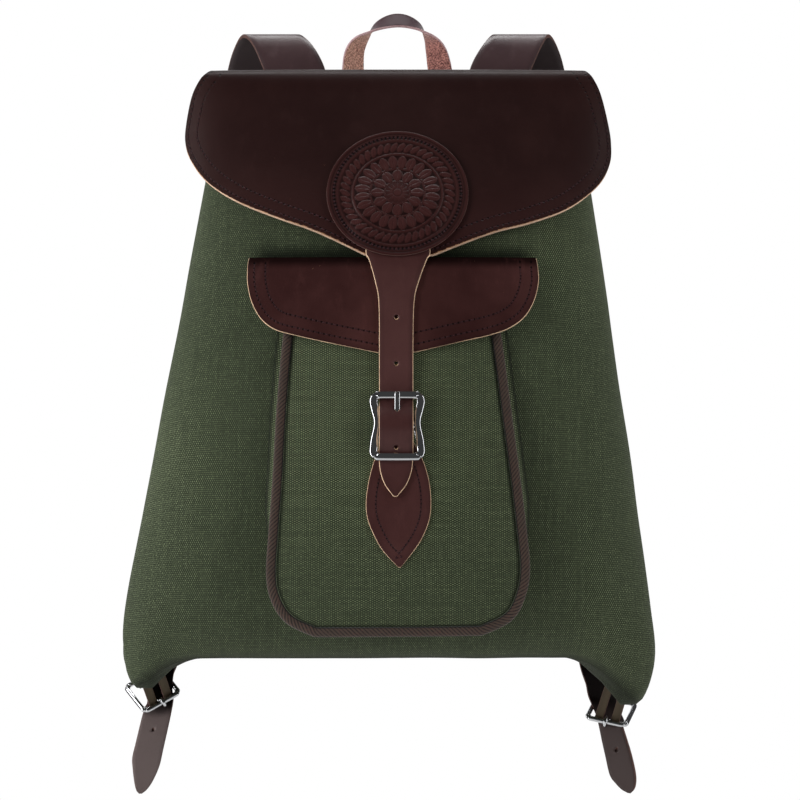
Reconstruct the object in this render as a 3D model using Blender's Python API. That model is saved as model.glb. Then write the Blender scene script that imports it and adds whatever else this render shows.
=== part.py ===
# A canvas rucksack with a leather lid, closed and filled out, as it hangs from its grab handle.
# Metres, +Z up. The front of the bag faces -Y and the wearer's back is at +Y. Left and right are
# those of someone who looks at the front, so left is -X. The origin is the underside of the grab
# handle, where a hook would carry the bag.

import math

import bmesh
import bpy
from mathutils import Vector

# Thicknesses, and the gap between pieces that are sewn or laid together
CANVAS = 0.002
LID_LEATHER = 0.003
FLAP_LEATHER = 0.0025
STRAP_LEATHER = 0.0028
SHOULDER_LEATHER = 0.003
TAB_LEATHER = 0.002
GAP = 0.0004

# Bag body: a row for each level from the mouth to the base
BAG_LEVELS = (
    # height, x of the middle, half width, front, back
    (-0.046, 0.0008, 0.1362, -0.0770, -0.0140),
    (-0.058, 0.0007, 0.1381, -0.0846, -0.0078),
    (-0.080, 0.0005, 0.1416, -0.0950, -0.0060),
    (-0.120, 0.0000, 0.1480, -0.1125, -0.0045),
    (-0.160, -0.0006, 0.1544, -0.1300, -0.0030),
    (-0.190, -0.0011, 0.1592, -0.1415, -0.0022),
    (-0.230, -0.0018, 0.1656, -0.1490, -0.0015),
    (-0.290, -0.0036, 0.1755, -0.1545, -0.0010),
    (-0.350, -0.0049, 0.1856, -0.1575, -0.0010),
    (-0.400, -0.0064, 0.1938, -0.1580, -0.0018),
    (-0.440, -0.0073, 0.2031, -0.1545, -0.0040),
    (-0.462, -0.0067, 0.2067, -0.1480, -0.0070),
    (-0.476, -0.0074, 0.2042, -0.1400, -0.0110),
    (-0.486, -0.0082, 0.1992, -0.1280, -0.0180),
    (-0.490, -0.0084, 0.1945, -0.1150, -0.0280),
)
MOUTH_Z = BAG_LEVELS[0][0]
BASE_Z = BAG_LEVELS[-1][0]
WIDEST_SHARE = 0.38      # where the side stands out most, as a share of the depth from the back
FRONT_POWER = 3.0        # how square the front and back are in plan
BACK_POWER = 5.0
BAG_COLUMNS = 56
BASE_RINGS = (0.74, 0.46, 0.2)

# Bottom corners, pulled down by the strap buckles: a row for each side
CORNERS = {
    # side: drop, where it starts from the middle, width of its slope
    -1: (0.028, 0.150, 0.040),
    1: (0.041, 0.134, 0.041),
}
CORNER_TOP = -0.395      # the pull fades out up to this height
CORNER_Y = -0.060        # depth of the corner's tip, and how fast it fades to front and back
CORNER_SPREAD = 0.050

# Lid: rows up the back and over the top, then rows down the front with its own left and right edge
LID_TOP_ROWS = (
    # height, y, half width
    (-0.1050, -0.0014, 0.1260),
    (-0.0960, -0.0016, 0.1330),
    (-0.0760, -0.0026, 0.1385),
    (-0.0570, -0.0036, 0.1405),
    (-0.0470, -0.0066, 0.1412),
    (-0.0415, -0.0140, 0.1418),
    (-0.0400, -0.0400, 0.1424),
    (-0.0403, -0.0680, 0.1438),
    (-0.0425, -0.0790, 0.1475),
)
LID_FRONT_ROWS = (
    # left edge x, its height, right edge x, its height
    (-0.1528, -0.0480, 0.1518, -0.0480),
    (-0.1590, -0.0610, 0.1572, -0.0600),
    (-0.1630, -0.0820, 0.1622, -0.0810),
    (-0.1635, -0.0975, 0.1646, -0.0980),
    (-0.1585, -0.1125, 0.1630, -0.1150),
    (-0.1450, -0.1298, 0.1530, -0.1325),
    (-0.1230, -0.1444, 0.1300, -0.1502),
    (-0.0940, -0.1567, 0.1010, -0.1615),
    (-0.0610, -0.1688, 0.0700, -0.1700),
    (-0.0238, -0.1866, 0.0254, -0.1872),
)
LID_FOLD = (-0.0457, -0.0839)      # height and y where the fold ends and the front starts
LID_SLOPE = 0.477                  # how far the lid's front leans out for each metre down
LID_SPREAD = 0.030                 # the lid's own curve is this much wider than its edges
LID_POWER = 2.8
LID_COLUMNS = 15

# Medallion: a round patch that follows the lid and lifts over the strap's end below it
MEDALLION_Z = -0.1399
MEDALLION_RADIUS = 0.0532
MEDALLION_RINGS = 5
MEDALLION_COLUMNS = 32
STRAP_END_Z = -0.144     # the patch has risen over the strap's end by this height
STRAP_END_RISE = 0.012

# Closure strap: a row for each place from under the medallion to the tip
CLOSURE_STRAP_ROWS = (
    # height, y of the middle of the leather, x of its middle, half width
    (-0.1515, -0.1364, 0.0000, 0.0195),
    (-0.1640, -0.1424, 0.0000, 0.0225),
    (-0.1850, -0.1524, 0.0004, 0.0242),
    (-0.1900, -0.1543, 0.0003, 0.0220),
    (-0.1980, -0.1563, 0.0000, 0.0192),
    (-0.2075, -0.1590, -0.0004, 0.0163),
    (-0.2180, -0.1617, -0.0007, 0.0138),
    (-0.2334, -0.1656, -0.0009, 0.0129),
    (-0.2600, -0.1717, -0.0010, 0.0127),
    (-0.2750, -0.1724, -0.0010, 0.0127),
    (-0.2890, -0.1733, -0.0010, 0.0127),
    (-0.2965, -0.1762, -0.0010, 0.0127),
    (-0.3030, -0.1828, -0.0010, 0.0127),
    (-0.3085, -0.1873, -0.0010, 0.0127),
    (-0.3145, -0.1889, -0.0010, 0.0127),
    (-0.3230, -0.1875, -0.0010, 0.0127),
    (-0.3380, -0.1839, -0.0011, 0.0126),
    (-0.3480, -0.1850, -0.0012, 0.0116),
    (-0.3580, -0.1868, -0.0014, 0.0080),
    (-0.3667, -0.1884, -0.0016, 0.0012),
)
CLOSURE_HOLES = (-0.2334, -0.2680, -0.3300)
CLOSURE_PRONG_HOLE = (0.0111, 0.0025)      # up the frame and before it, from the buckle's middle
HOLE_RADIUS = 0.0016
HOLE_DEPTH = 0.014
PRONG_HOLE_RADIUS = 0.0021
PRONG_HOLE_DEPTH = 0.011

# Front pocket: its centre line from the mouth down, and its left and right edges
POCKET_PROFILE = (
    # height, y
    (-0.190, -0.1475),
    (-0.200, -0.1500),
    (-0.250, -0.1625),
    (-0.300, -0.1730),
    (-0.350, -0.1810),
    (-0.400, -0.1865),
    (-0.440, -0.1880),
    (-0.465, -0.1840),
)
POCKET_ROWS = (
    # left edge x, its height, right edge x, its height
    (-0.0738, -0.2150, 0.0645, -0.2150),
    (-0.0779, -0.2478, 0.0699, -0.2478),
    (-0.0808, -0.2800, 0.0742, -0.2800),
    (-0.0832, -0.3150, 0.0786, -0.3150),
    (-0.0852, -0.3550, 0.0838, -0.3550),
    (-0.0880, -0.3950, 0.0884, -0.3950),
    (-0.0896, -0.4240, 0.0905, -0.4200),
    (-0.0865, -0.4410, 0.0878, -0.4370),
    (-0.0775, -0.4545, 0.0798, -0.4525),
    (-0.0600, -0.4630, 0.0610, -0.4620),
)
POCKET_COLUMNS = 13
POCKET_FALL = 0.005      # the face falls back this much at its edges
POCKET_SPLAY = 0.011     # the gusset is this much wider at the bag than at the face
POCKET_SPLAY_BELOW = 0.005
SEAM_STEP = 0.0045       # depth of the gusset behind the face before it splays
BINDING_HALF_WIDTH = 0.0036
BINDING_HALF_THICKNESS = 0.0016

# Pocket flap: its seam and fold above the pocket, then rows down its front
POCKET_FLAP_FOLD_ROWS = (
    # height, how far its middle stands off the bag, left edge x, right edge x
    (-0.2120, 0.0019, -0.1000, 0.0930),
    (-0.2010, 0.0019, -0.1060, 0.0990),
    (-0.1945, 0.0028, -0.1095, 0.1020),
    (-0.1912, 0.0056, -0.1112, 0.1036),
    (-0.1918, 0.0088, -0.1120, 0.1044),
)
POCKET_FLAP_ROWS = (
    # left edge x, its height, right edge x, its height
    (-0.1127, -0.1985, 0.1056, -0.1985),
    (-0.1124, -0.2085, 0.1056, -0.2085),
    (-0.1095, -0.2215, 0.1022, -0.2215),
    (-0.1025, -0.2345, 0.0950, -0.2335),
    (-0.0920, -0.2428, 0.0835, -0.2420),
    (-0.0760, -0.2474, 0.0680, -0.2474),
    (-0.0480, -0.2536, 0.0480, -0.2519),
    (-0.0130, -0.2606, 0.0130, -0.2600),
)
POCKET_FLAP_MIDDLE = -0.0035
POCKET_FLAP_HALF = 0.109
POCKET_FLAP_FALL = 0.0105
POCKET_FLAP_CLEAR = 0.0022
POCKET_FLAP_COLUMNS = 13

# Buckle tab: the leaf sewn on the pocket, from the buckle's bar down to its tip
TAB_ROWS = (
    # height, left edge x, right edge x
    (-0.3230, -0.0105, 0.0105),
    (-0.3330, -0.0145, 0.0155),
    (-0.3430, -0.0182, 0.0200),
    (-0.3560, -0.0215, 0.0235),
    (-0.3700, -0.0233, 0.0248),
    (-0.3830, -0.0222, 0.0237),
    (-0.3960, -0.0170, 0.0188),
    (-0.4070, -0.0105, 0.0118),
    (-0.4188, 0.0008, 0.0022),
)

# Buckles: sizes between the middles of the wire, and where each one sits
WIRE = 0.0020
CLOSURE_BUCKLE = {
    "width": 0.0368, "length": 0.0473, "corner": 0.0055, "waist": 0.0022, "dip": 0.0010,
    "middle": (-0.0002, -0.1830, -0.3144), "across": (1.0, 0.0, 0.0), "along": (0.0, 0.2020, 0.9790),
}
STRAP_BUCKLES = {
    # side: the bar that the chape holds, the direction from outside to inside, and up the frame
    -1: ((-0.1835, -0.0400, -0.5311), (0.835, 0.290, 0.467), (-0.530, 0.655, 0.541)),
    1: ((0.1627, -0.0400, -0.5463), (-0.948, 0.252, 0.186), (0.310, 0.838, 0.444)),
}
STRAP_BUCKLE_SIZE = {"width": 0.0310, "length": 0.0320, "corner": 0.0045, "waist": 0.0, "dip": 0.0}
PRONG_RADIUS = 0.0011
PRONG_CLEAR = 0.0003

# Chapes of the small buckles: two places under the bag's corner, the way they lie there, and width
ANCHOR_STARTS = {
    -1: ((-0.1910, -0.0600, -0.5134), (-0.1900, -0.0490, -0.5128), (0.87, 0.10, 0.48)),
    1: ((0.1715, -0.0600, -0.5216), (0.1705, -0.0490, -0.5206), (-0.80, 0.10, 0.60)),
}
ANCHOR_LEATHER = 0.0020
ANCHOR_HALF_WIDTH = 0.0100

# Grab handle: from the left seam over the top to the right seam
HANDLE_ROWS = (
    # x, y, height, turn of the strap in degrees
    (-0.0352, 0.0002, -0.0950, 0),
    (-0.0355, -0.0008, -0.0700, 2),
    (-0.0351, 0.0014, -0.0415, 20),
    (-0.0340, 0.0028, -0.0310, 36),
    (-0.0316, 0.0036, -0.0210, 50),
    (-0.0275, 0.0044, -0.0105, 68),
    (-0.0215, 0.0050, -0.0010, 92),
    (-0.0120, 0.0045, 0.0054, 110),
    (0.0000, 0.0042, 0.0076, 116),
    (0.0130, 0.0045, 0.0054, 110),
    (0.0222, 0.0050, -0.0010, 92),
    (0.0265, 0.0044, -0.0105, 68),
    (0.0286, 0.0036, -0.0205, 50),
    (0.0308, 0.0028, -0.0285, 34),
    (0.0334, 0.0014, -0.0415, 10),
    (0.0338, -0.0008, -0.0700, 0),
    (0.0336, 0.0002, -0.0950, 0),
)
HANDLE_WIDTH = 0.0180

# Shoulder straps: x is measured outwards from the middle of the bag
SHOULDER_TOP_ROWS = (
    # x, y, height, half width, tilt and turn of the strap's width in degrees
    (0.0700, 0.0003, -0.0950, 0.0220, 0, 0),
    (0.0722, -0.0005, -0.0740, 0.0222, 0, 0),
    (0.0765, 0.0008, -0.0500, 0.0232, 0, 0),
    (0.0835, 0.0060, -0.0290, 0.0246, 0, 0),
    (0.0920, 0.0140, -0.0125, 0.0235, 0, 0),
)
SHOULDER_LOW_ROWS = {
    -1: (
        (0.1013, 0.0240, -0.0045, 0.0222, 0, 0),
        (0.1085, 0.0345, -0.0125, 0.0222, 0, 0),
        (0.1150, 0.0415, -0.0330, 0.0222, 0, 0),
        (0.1230, 0.0470, -0.0800, 0.0220, 0, 0),
        (0.1330, 0.0520, -0.1500, 0.0220, 0, 0),
        (0.1420, 0.0540, -0.2300, 0.0220, 0, 0),
        (0.1500, 0.0510, -0.3100, 0.0195, 2, 0),
        (0.1590, 0.0410, -0.3900, 0.0150, 4, 0),
        (0.1710, 0.0220, -0.4550, 0.0118, 10, 2),
        (0.1800, 0.0040, -0.4850, 0.0116, 20, 5),
    ),
    1: (
        (0.0993, 0.0240, -0.0045, 0.0222, 0, 0),
        (0.1062, 0.0345, -0.0125, 0.0222, 0, 0),
        (0.1127, 0.0415, -0.0330, 0.0222, 0, 0),
        (0.1207, 0.0470, -0.0800, 0.0220, 0, 0),
        (0.1310, 0.0520, -0.1500, 0.0220, 0, 0),
        (0.1405, 0.0540, -0.2300, 0.0220, 0, 0),
        (0.1480, 0.0510, -0.3100, 0.0195, 2, 0),
        (0.1490, 0.0410, -0.3900, 0.0150, 3, 0),
        (0.1500, 0.0250, -0.4650, 0.0118, 5, 3),
        (0.1530, 0.0080, -0.5050, 0.0116, 8, 7),
    ),
}
SHOULDER_BUCKLE_HALF = 0.0116
SHOULDER_PRONG_HOLE = (0.0137, 0.0031)     # up the frame and behind it, from the bar
# Through the small buckle, in its own directions: inwards, up the frame, out of its face
SHOULDER_BUCKLE_ROWS = (
    (0.0060, 0.0370, 0.0060),
    (0.0035, 0.0270, 0.0050),
    (0.0015, 0.0190, 0.0010),
    (-0.0005, 0.0120, -0.0044),
    (-0.0025, 0.0000, -0.0068),
)
TAIL_ROWS = {
    -1: (
        (0.1893, -0.0372, -0.5500, 0.0121, 14, 3),
        (0.1934, -0.0376, -0.5680, 0.0120, 12, 0),
        (0.1968, -0.0380, -0.5850, 0.0104, 12, 0),
        (0.1990, -0.0382, -0.5960, 0.0066, 12, 0),
        (0.2003, -0.0384, -0.6025, 0.0012, 12, 0),
    ),
    1: (
        (0.1684, -0.0392, -0.5650, 0.0118, 13, 4),
        (0.1722, -0.0396, -0.5760, 0.0116, 15, 0),
        (0.1764, -0.0400, -0.5870, 0.0098, 16, 0),
        (0.1794, -0.0402, -0.5960, 0.0060, 16, 0),
        (0.1806, -0.0404, -0.6018, 0.0012, 16, 0),
    ),
}
TAIL_HOLES = {-1: (-0.1908, -0.0373, -0.5545), 1: (0.1708, -0.0394, -0.5692)}
SIDE_NAMES = {-1: "left", 1: "right"}

# Finishes: red, green and blue as seen, from 0 to 255, then roughness and metallic value
FINISHES = {
    "olive_canvas": ((67, 74, 57), 0.92, 0.0),
    "dark_leather": ((48, 28, 26), 0.50, 0.0),
    "brown_leather": ((64, 39, 38), 0.50, 0.0),
    "strap_leather": ((80, 62, 62), 0.50, 0.0),
    "brown_twill": ((66, 58, 48), 0.90, 0.0),
    "bright_steel": ((190, 190, 192), 0.18, 1.0),
}


def clear_scene():
    for thing in list(bpy.data.objects):
        bpy.data.objects.remove(thing, do_unlink=True)


def finish(name):
    # The material of that name, made the first time that it is asked for.
    material = bpy.data.materials.get(name)
    if material:
        return material
    seen, roughness, metallic = FINISHES[name]
    material = bpy.data.materials.new(name)
    material.use_nodes = True
    shader = material.node_tree.nodes["Principled BSDF"]
    linear = [((part / 255 + 0.055) / 1.055) ** 2.4 for part in seen]
    shader.inputs["Base Color"].default_value = (*linear, 1.0)
    shader.inputs["Roughness"].default_value = roughness
    shader.inputs["Metallic"].default_value = metallic
    material.diffuse_color = (*linear, 1.0)
    return material


def level(rows, height):
    # A table's row at a height, its first column, on a smooth curve through the rows.
    last = len(rows) - 1
    start = 0
    while start < last - 1 and height < rows[start + 1][0]:
        start += 1
    above, below = rows[start], rows[start + 1]
    step = below[0] - above[0]
    t = (height - above[0]) / step
    before, after = rows[max(start - 1, 0)], rows[min(start + 2, last)]
    found = [height]
    for column in range(1, len(above)):
        slope_above = (below[column] - before[column]) / (below[0] - before[0])
        slope_below = (after[column] - above[column]) / (after[0] - above[0])
        found.append(
            (2 * t ** 3 - 3 * t ** 2 + 1) * above[column]
            + (t ** 3 - 2 * t ** 2 + t) * step * slope_above
            + (3 * t ** 2 - 2 * t ** 3) * below[column]
            + (t ** 3 - t ** 2) * step * slope_below
        )
    return found


def along(rows, place):
    # A table's row at a place counted in rows, on a smooth curve through the rows.
    last = len(rows) - 1
    start = min(int(place), last - 1)
    t = place - start
    four = [rows[min(max(start + step, 0), last)] for step in (-1, 0, 1, 2)]
    return [
        0.5 * (2 * b + (c - a) * t + (2 * a - 5 * b + 4 * c - d) * t ** 2 + (3 * b - a - 3 * c + d) * t ** 3)
        for a, b, c, d in zip(*four)
    ]


def fill_in(rows, steps):
    # The table's rows with smooth rows added, so that each stretch has that many steps.
    count = (len(rows) - 1) * steps
    return [along(rows, index / steps) for index in range(count + 1)]


def bulge(share, power):
    # How far a rounded outline stands out at a share of its half width: 1 in the middle, 0 at the edge.
    return max(0.0, 1.0 - abs(share) ** power) ** (1.0 / power)


def smooth_step(value):
    value = min(max(value, 0.0), 1.0)
    return value * value * (3.0 - 2.0 * value)


def bag_section(height):
    # Middle x, half width, front y, back y and widest y of the bag at a height.
    middle, half, front, back = level(BAG_LEVELS, height)[1:]
    return middle, half, front, back, back + WIDEST_SHARE * (front - back)


def bag_front(x, height):
    middle, half, front, back, widest = bag_section(height)
    return widest + (front - widest) * bulge((x - middle) / half, FRONT_POWER)


def corner_drop(x, y, height):
    # How far the bottom corners pull the cloth down at a point.
    drop, start, slope = CORNERS[-1 if x < 0 else 1]
    sideways = min(max((abs(x) - start) / slope, 0.0), 1.0)
    depthways = math.exp(-((y - CORNER_Y) / CORNER_SPREAD) ** 2)
    return drop * sideways * depthways * smooth_step((CORNER_TOP - height) / (CORNER_TOP - BASE_Z))


def bag_ring(height, count, scale=1.0):
    # One level of the bag as points at equal steps, from the middle of the back round by the left.
    middle, half, front, back, widest = bag_section(height)
    fine = 360
    outline = []
    for index in range(fine + 1):
        angle = -math.pi + 2 * math.pi * index / fine
        forward = math.cos(angle) > 0
        power = FRONT_POWER if forward else BACK_POWER
        share = math.copysign(abs(math.sin(angle)) ** (2 / power), math.sin(angle))
        reach = abs(math.cos(angle)) ** (2 / power) * ((front if forward else back) - widest)
        outline.append(Vector((middle + half * share * scale, widest + reach * scale, height)))
    lengths = [0.0]
    for start, end in zip(outline, outline[1:]):
        lengths.append(lengths[-1] + (end - start).length)
    ring = []
    spot = 0
    for index in range(count):
        wanted = lengths[-1] * index / count
        while lengths[spot + 1] < wanted:
            spot += 1
        share = (wanted - lengths[spot]) / (lengths[spot + 1] - lengths[spot])
        point = outline[spot].lerp(outline[spot + 1], share)
        point.z -= corner_drop(point.x, point.y, height)
        ring.append(point)
    return ring


def lid_front(x, height):
    # The lid's outer surface: a straight slope in the middle that bends back towards the sides.
    centre = LID_FOLD[1] + LID_SLOPE * (height - LID_FOLD[0])
    return lid_bend(x, height, centre)


def lid_bend(x, height, centre):
    middle, half, front, back, widest = bag_section(min(height, MOUTH_Z))
    if centre > widest:
        return centre
    reach = max(half, 0.146) + LID_SPREAD
    return widest + (centre - widest) * bulge((x - middle) / reach, LID_POWER)


def pocket_centre(height):
    return level(POCKET_PROFILE, height)[1]


def pocket_front(x, height):
    # The pocket's outer face, which falls back towards its edges.
    down = min(max((-0.215 - height) / 0.215, 0.0), 1.0)
    middle = -0.0046 * (1.0 - down)
    half = 0.0692 + 0.0212 * down
    return pocket_centre(height) + POCKET_FALL * min(abs((x - middle) / half), 1.2) ** 3


def pocket_flap_middle(x, height):
    # The middle of the pocket flap's leather, over the pocket.
    share = abs((x - POCKET_FLAP_MIDDLE) / POCKET_FLAP_HALF)
    return pocket_centre(height) - POCKET_FLAP_CLEAR - FLAP_LEATHER / 2 + POCKET_FLAP_FALL * share ** 2.5


def build_mesh(name, points, faces, material):
    mesh = bpy.data.meshes.new(name)
    mesh.from_pydata([tuple(point) for point in points], [], faces)
    mesh.update()
    thing = bpy.data.objects.new(name, mesh)
    bpy.context.scene.collection.objects.link(thing)
    mesh.materials.append(finish(material))
    mesh.shade_smooth()
    return thing


def thicken(thing, thickness, offset):
    # Offset -1 keeps the mesh as the outer surface, and 0 keeps it as the middle of the wall.
    solid = thing.modifiers.new("thickness", "SOLIDIFY")
    solid.thickness = thickness
    solid.offset = offset
    solid.use_even_offset = True
    solid.use_quality_normals = True


def sheet(name, grid, thickness, offset, material, open_cells=()):
    # A sheet of cloth or leather through a grid of points, with cells left out where it is slit.
    columns = len(grid[0])
    points = [point for row in grid for point in row]
    faces = []
    for row in range(len(grid) - 1):
        for column in range(columns - 1):
            if (row, column) in open_cells:
                continue
            first = row * columns + column
            faces.append((first, first + columns, first + columns + 1, first + 1))
    used = sorted({corner for face in faces for corner in face})
    place = {old: new for new, old in enumerate(used)}
    thing = build_mesh(name, [points[old] for old in used],
                       [tuple(place[corner] for corner in face) for face in faces], material)
    thicken(thing, thickness, offset)
    return thing


def band(name, rows, columns, thickness, material, open_cells=()):
    # A strap through rows of (middle, half of its width as a vector), split at the given shares.
    grid = [[middle + half * share for share in columns] for middle, half in rows]
    return sheet(name, grid, thickness, 0.0, material, open_cells)


def tube(name, path, across, radii, sides, material, closed=False):
    # A wire or binding along a path. Across gives one axis of its section at each point.
    count = len(path)
    points = []
    for index, point in enumerate(path):
        after = path[(index + 1) % count] if closed else path[min(index + 1, count - 1)]
        before = path[index - 1] if closed else path[max(index - 1, 0)]
        forward = (after - before).normalized()
        first = (across[index] - forward * across[index].dot(forward)).normalized()
        second = forward.cross(first)
        for side in range(sides):
            angle = 2 * math.pi * (side + 0.5) / sides
            points.append(point + first * radii[0] * math.cos(angle) + second * radii[1] * math.sin(angle))
    faces = []
    for index in range(count if closed else count - 1):
        here, there = index * sides, (index + 1) % count * sides
        for side in range(sides):
            beside = (side + 1) % sides
            faces.append((here + side, here + beside, there + beside, there + side))
    if not closed:
        faces.append(tuple(reversed(range(sides))))
        faces.append(tuple(range((count - 1) * sides, count * sides)))
    thing = build_mesh(name, points, faces, material)
    thing.data.set_sharp_from_angle(angle=math.radians(60))
    return thing


def combine(thing, other, operation):
    # Joins another solid to this one or cuts it away, and keeps the other out of the finished part.
    other.display_type = "WIRE"
    other.hide_render = True
    boolean = thing.modifiers.new(other.name, "BOOLEAN")
    boolean.operation = operation
    boolean.solver = "EXACT"
    boolean.object = other


def punch(thing, number, place, direction, radius, depth):
    # A round hole through a piece.
    mesh = bpy.data.meshes.new("hole")
    shape = bmesh.new()
    bmesh.ops.create_cone(shape, cap_ends=True, segments=12, radius1=radius, radius2=radius, depth=depth)
    shape.to_mesh(mesh)
    shape.free()
    cutter = bpy.data.objects.new(f"{thing.name}_hole_{number}", mesh)
    bpy.context.scene.collection.objects.link(cutter)
    cutter.rotation_mode = "QUATERNION"
    cutter.rotation_quaternion = Vector((0, 0, 1)).rotation_difference(Vector(direction))
    cutter.location = place
    combine(thing, cutter, "DIFFERENCE")


def make_canvas_bag():
    rings = [bag_ring(row[0], BAG_COLUMNS) for row in BAG_LEVELS]
    rings += [bag_ring(BASE_Z, BAG_COLUMNS, scale) for scale in BASE_RINGS]
    points = [point for ring in rings for point in ring]
    faces = []
    for row in range(len(rings) - 1):
        for column in range(BAG_COLUMNS):
            beside = (column + 1) % BAG_COLUMNS
            here, below = row * BAG_COLUMNS, (row + 1) * BAG_COLUMNS
            faces.append((here + column, below + column, below + beside, here + beside))
    middle, half, front, back, widest = bag_section(BASE_Z)
    points.append(Vector((middle, widest, BASE_Z)))
    last = (len(rings) - 1) * BAG_COLUMNS
    for column in range(BAG_COLUMNS):
        faces.append((last + column, len(points) - 1, last + (column + 1) % BAG_COLUMNS))
    bag = build_mesh("canvas_bag", points, faces, "olive_canvas")
    thicken(bag, CANVAS, -1.0)
    return bag


def make_lid_flap():
    shares = [-1 + 2 * column / (LID_COLUMNS - 1) for column in range(LID_COLUMNS)]
    grid = []
    for height, y, half in LID_TOP_ROWS:
        grid.append([Vector((half * share, lid_bend(half * share, height, y), height)) for share in shares])
    for left, left_z, right, right_z in LID_FRONT_ROWS:
        row = []
        for share in shares:
            x = left + (right - left) * (share + 1) / 2
            height = left_z + (right_z - left_z) * (share + 1) / 2
            row.append(Vector((x, lid_front(x, height), height)))
        grid.append(row)
    return sheet("lid_flap", grid, LID_LEATHER, -1.0, "dark_leather")


def medallion_middle(x, height):
    # The middle of the patch's leather, which lies on the lid and then over the strap's end.
    lift = (STRAP_LEATHER + GAP) * smooth_step((STRAP_END_Z + STRAP_END_RISE - height) / STRAP_END_RISE)
    return lid_front(x, height) - (GAP + FLAP_LEATHER / 2 + lift) * math.hypot(1.0, LID_SLOPE)


def make_medallion():
    slope = 1.0 / math.hypot(1.0, LID_SLOPE)
    points = [Vector((0, medallion_middle(0, MEDALLION_Z), MEDALLION_Z))]
    for ring in range(1, MEDALLION_RINGS + 1):
        radius = MEDALLION_RADIUS * ring / MEDALLION_RINGS
        for column in range(MEDALLION_COLUMNS):
            angle = 2 * math.pi * column / MEDALLION_COLUMNS
            x = radius * math.cos(angle)
            height = MEDALLION_Z + radius * math.sin(angle) * slope
            points.append(Vector((x, medallion_middle(x, height), height)))
    faces = []
    for column in range(MEDALLION_COLUMNS):
        beside = (column + 1) % MEDALLION_COLUMNS
        faces.append((0, 1 + column, 1 + beside))
        for ring in range(MEDALLION_RINGS - 1):
            here, outside = 1 + ring * MEDALLION_COLUMNS, 1 + (ring + 1) * MEDALLION_COLUMNS
            faces.append((here + column, outside + column, outside + beside, here + beside))
    medallion = build_mesh("medallion", points, faces, "brown_leather")
    thicken(medallion, FLAP_LEATHER, 0.0)
    return medallion


def make_closure_strap():
    rows = []
    for height, y, x, half in fill_in(CLOSURE_STRAP_ROWS, 2):
        rows.append((Vector((x, y, height)), Vector((half, 0, 0))))
    strap = band("closure_strap", rows, (-1, 0, 1), STRAP_LEATHER, "brown_leather")
    for number, height in enumerate(CLOSURE_HOLES):
        y, x = level(CLOSURE_STRAP_ROWS, height)[1:3]
        punch(strap, number, (x, y, height), (0, 1, 0), HOLE_RADIUS, HOLE_DEPTH)
    middle, across, up, face = buckle_place(CLOSURE_BUCKLE)
    above, before = CLOSURE_PRONG_HOLE
    punch(strap, "prong", middle + up * above + face * before, up, PRONG_HOLE_RADIUS, PRONG_HOLE_DEPTH)
    return strap


def pocket_edge():
    # The seam round the pocket's face: down the left side, along the bottom and up the right side.
    rows = [[(left + (right - left) * share, left_z + (right_z - left_z) * share)
             for share in pocket_shares()] for left, left_z, right, right_z in POCKET_ROWS]
    left = [row[0] for row in rows]
    bottom = rows[-1][1:-1]
    right = [row[-1] for row in reversed(rows)]
    seam = left + bottom + right
    outward = []
    for index in range(len(seam)):
        before, after = seam[max(index - 1, 0)], seam[min(index + 1, len(seam) - 1)]
        step = Vector((after[1] - before[1], before[0] - after[0]))
        outward.append(step.normalized())
    return seam, outward


def pocket_shares():
    return [column / (POCKET_COLUMNS - 1) for column in range(POCKET_COLUMNS)]


def make_front_pocket():
    points = []
    for left, left_z, right, right_z in POCKET_ROWS:
        for share in pocket_shares():
            x, height = left + (right - left) * share, left_z + (right_z - left_z) * share
            points.append(Vector((x, pocket_front(x, height), height)))
    faces = []
    for row in range(len(POCKET_ROWS) - 1):
        for column in range(POCKET_COLUMNS - 1):
            first = row * POCKET_COLUMNS + column
            faces.append((first, first + POCKET_COLUMNS, first + POCKET_COLUMNS + 1, first + 1))
    seam, outward = pocket_edge()
    last = (len(POCKET_ROWS) - 1) * POCKET_COLUMNS
    edge = [row * POCKET_COLUMNS for row in range(len(POCKET_ROWS))]
    edge += [last + column for column in range(1, POCKET_COLUMNS - 1)]
    edge += [row * POCKET_COLUMNS + POCKET_COLUMNS - 1 for row in reversed(range(len(POCKET_ROWS)))]
    loops = [edge]
    for share in (0.0, 0.5, 1.0):
        loop = []
        for (x, height), away in zip(seam, outward):
            face = pocket_front(x, height)
            depth = bag_front(x, height) - 3 * GAP - face
            step = min(SEAM_STEP, depth * 0.3)
            splay = POCKET_SPLAY + (POCKET_SPLAY_BELOW - POCKET_SPLAY) * max(0.0, -away.y)
            splay = min(splay, (depth - step) * 0.7)
            back = bag_front(x + away.x * splay, height + away.y * splay) - 3 * GAP
            back -= CANVAS * splay / math.hypot(splay, back - face - step)
            y = face + step + (back - face - step) * share
            loop.append(len(points))
            points.append(Vector((x + away.x * splay * share, y, height + away.y * splay * share)))
        loops.append(loop)
    for front, behind in zip(loops, loops[1:]):
        for index in range(len(front) - 1):
            faces.append((front[index], behind[index], behind[index + 1], front[index + 1]))
    pocket = build_mesh("front_pocket", points, faces, "olive_canvas")
    thicken(pocket, CANVAS, -1.0)
    return pocket


def make_pocket_binding():
    seam, outward = pocket_edge()
    path, across = [], []
    for (x, height), away in zip(seam, outward):
        out = GAP + BINDING_HALF_WIDTH
        y = pocket_front(x, height) + BINDING_HALF_THICKNESS - 0.0012
        path.append(Vector((x + away.x * out, y, height + away.y * out)))
        across.append(Vector((away.x, 0, away.y)))
    radii = (BINDING_HALF_WIDTH, BINDING_HALF_THICKNESS)
    return tube("pocket_binding", path, across, radii, 8, "brown_twill")


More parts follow.
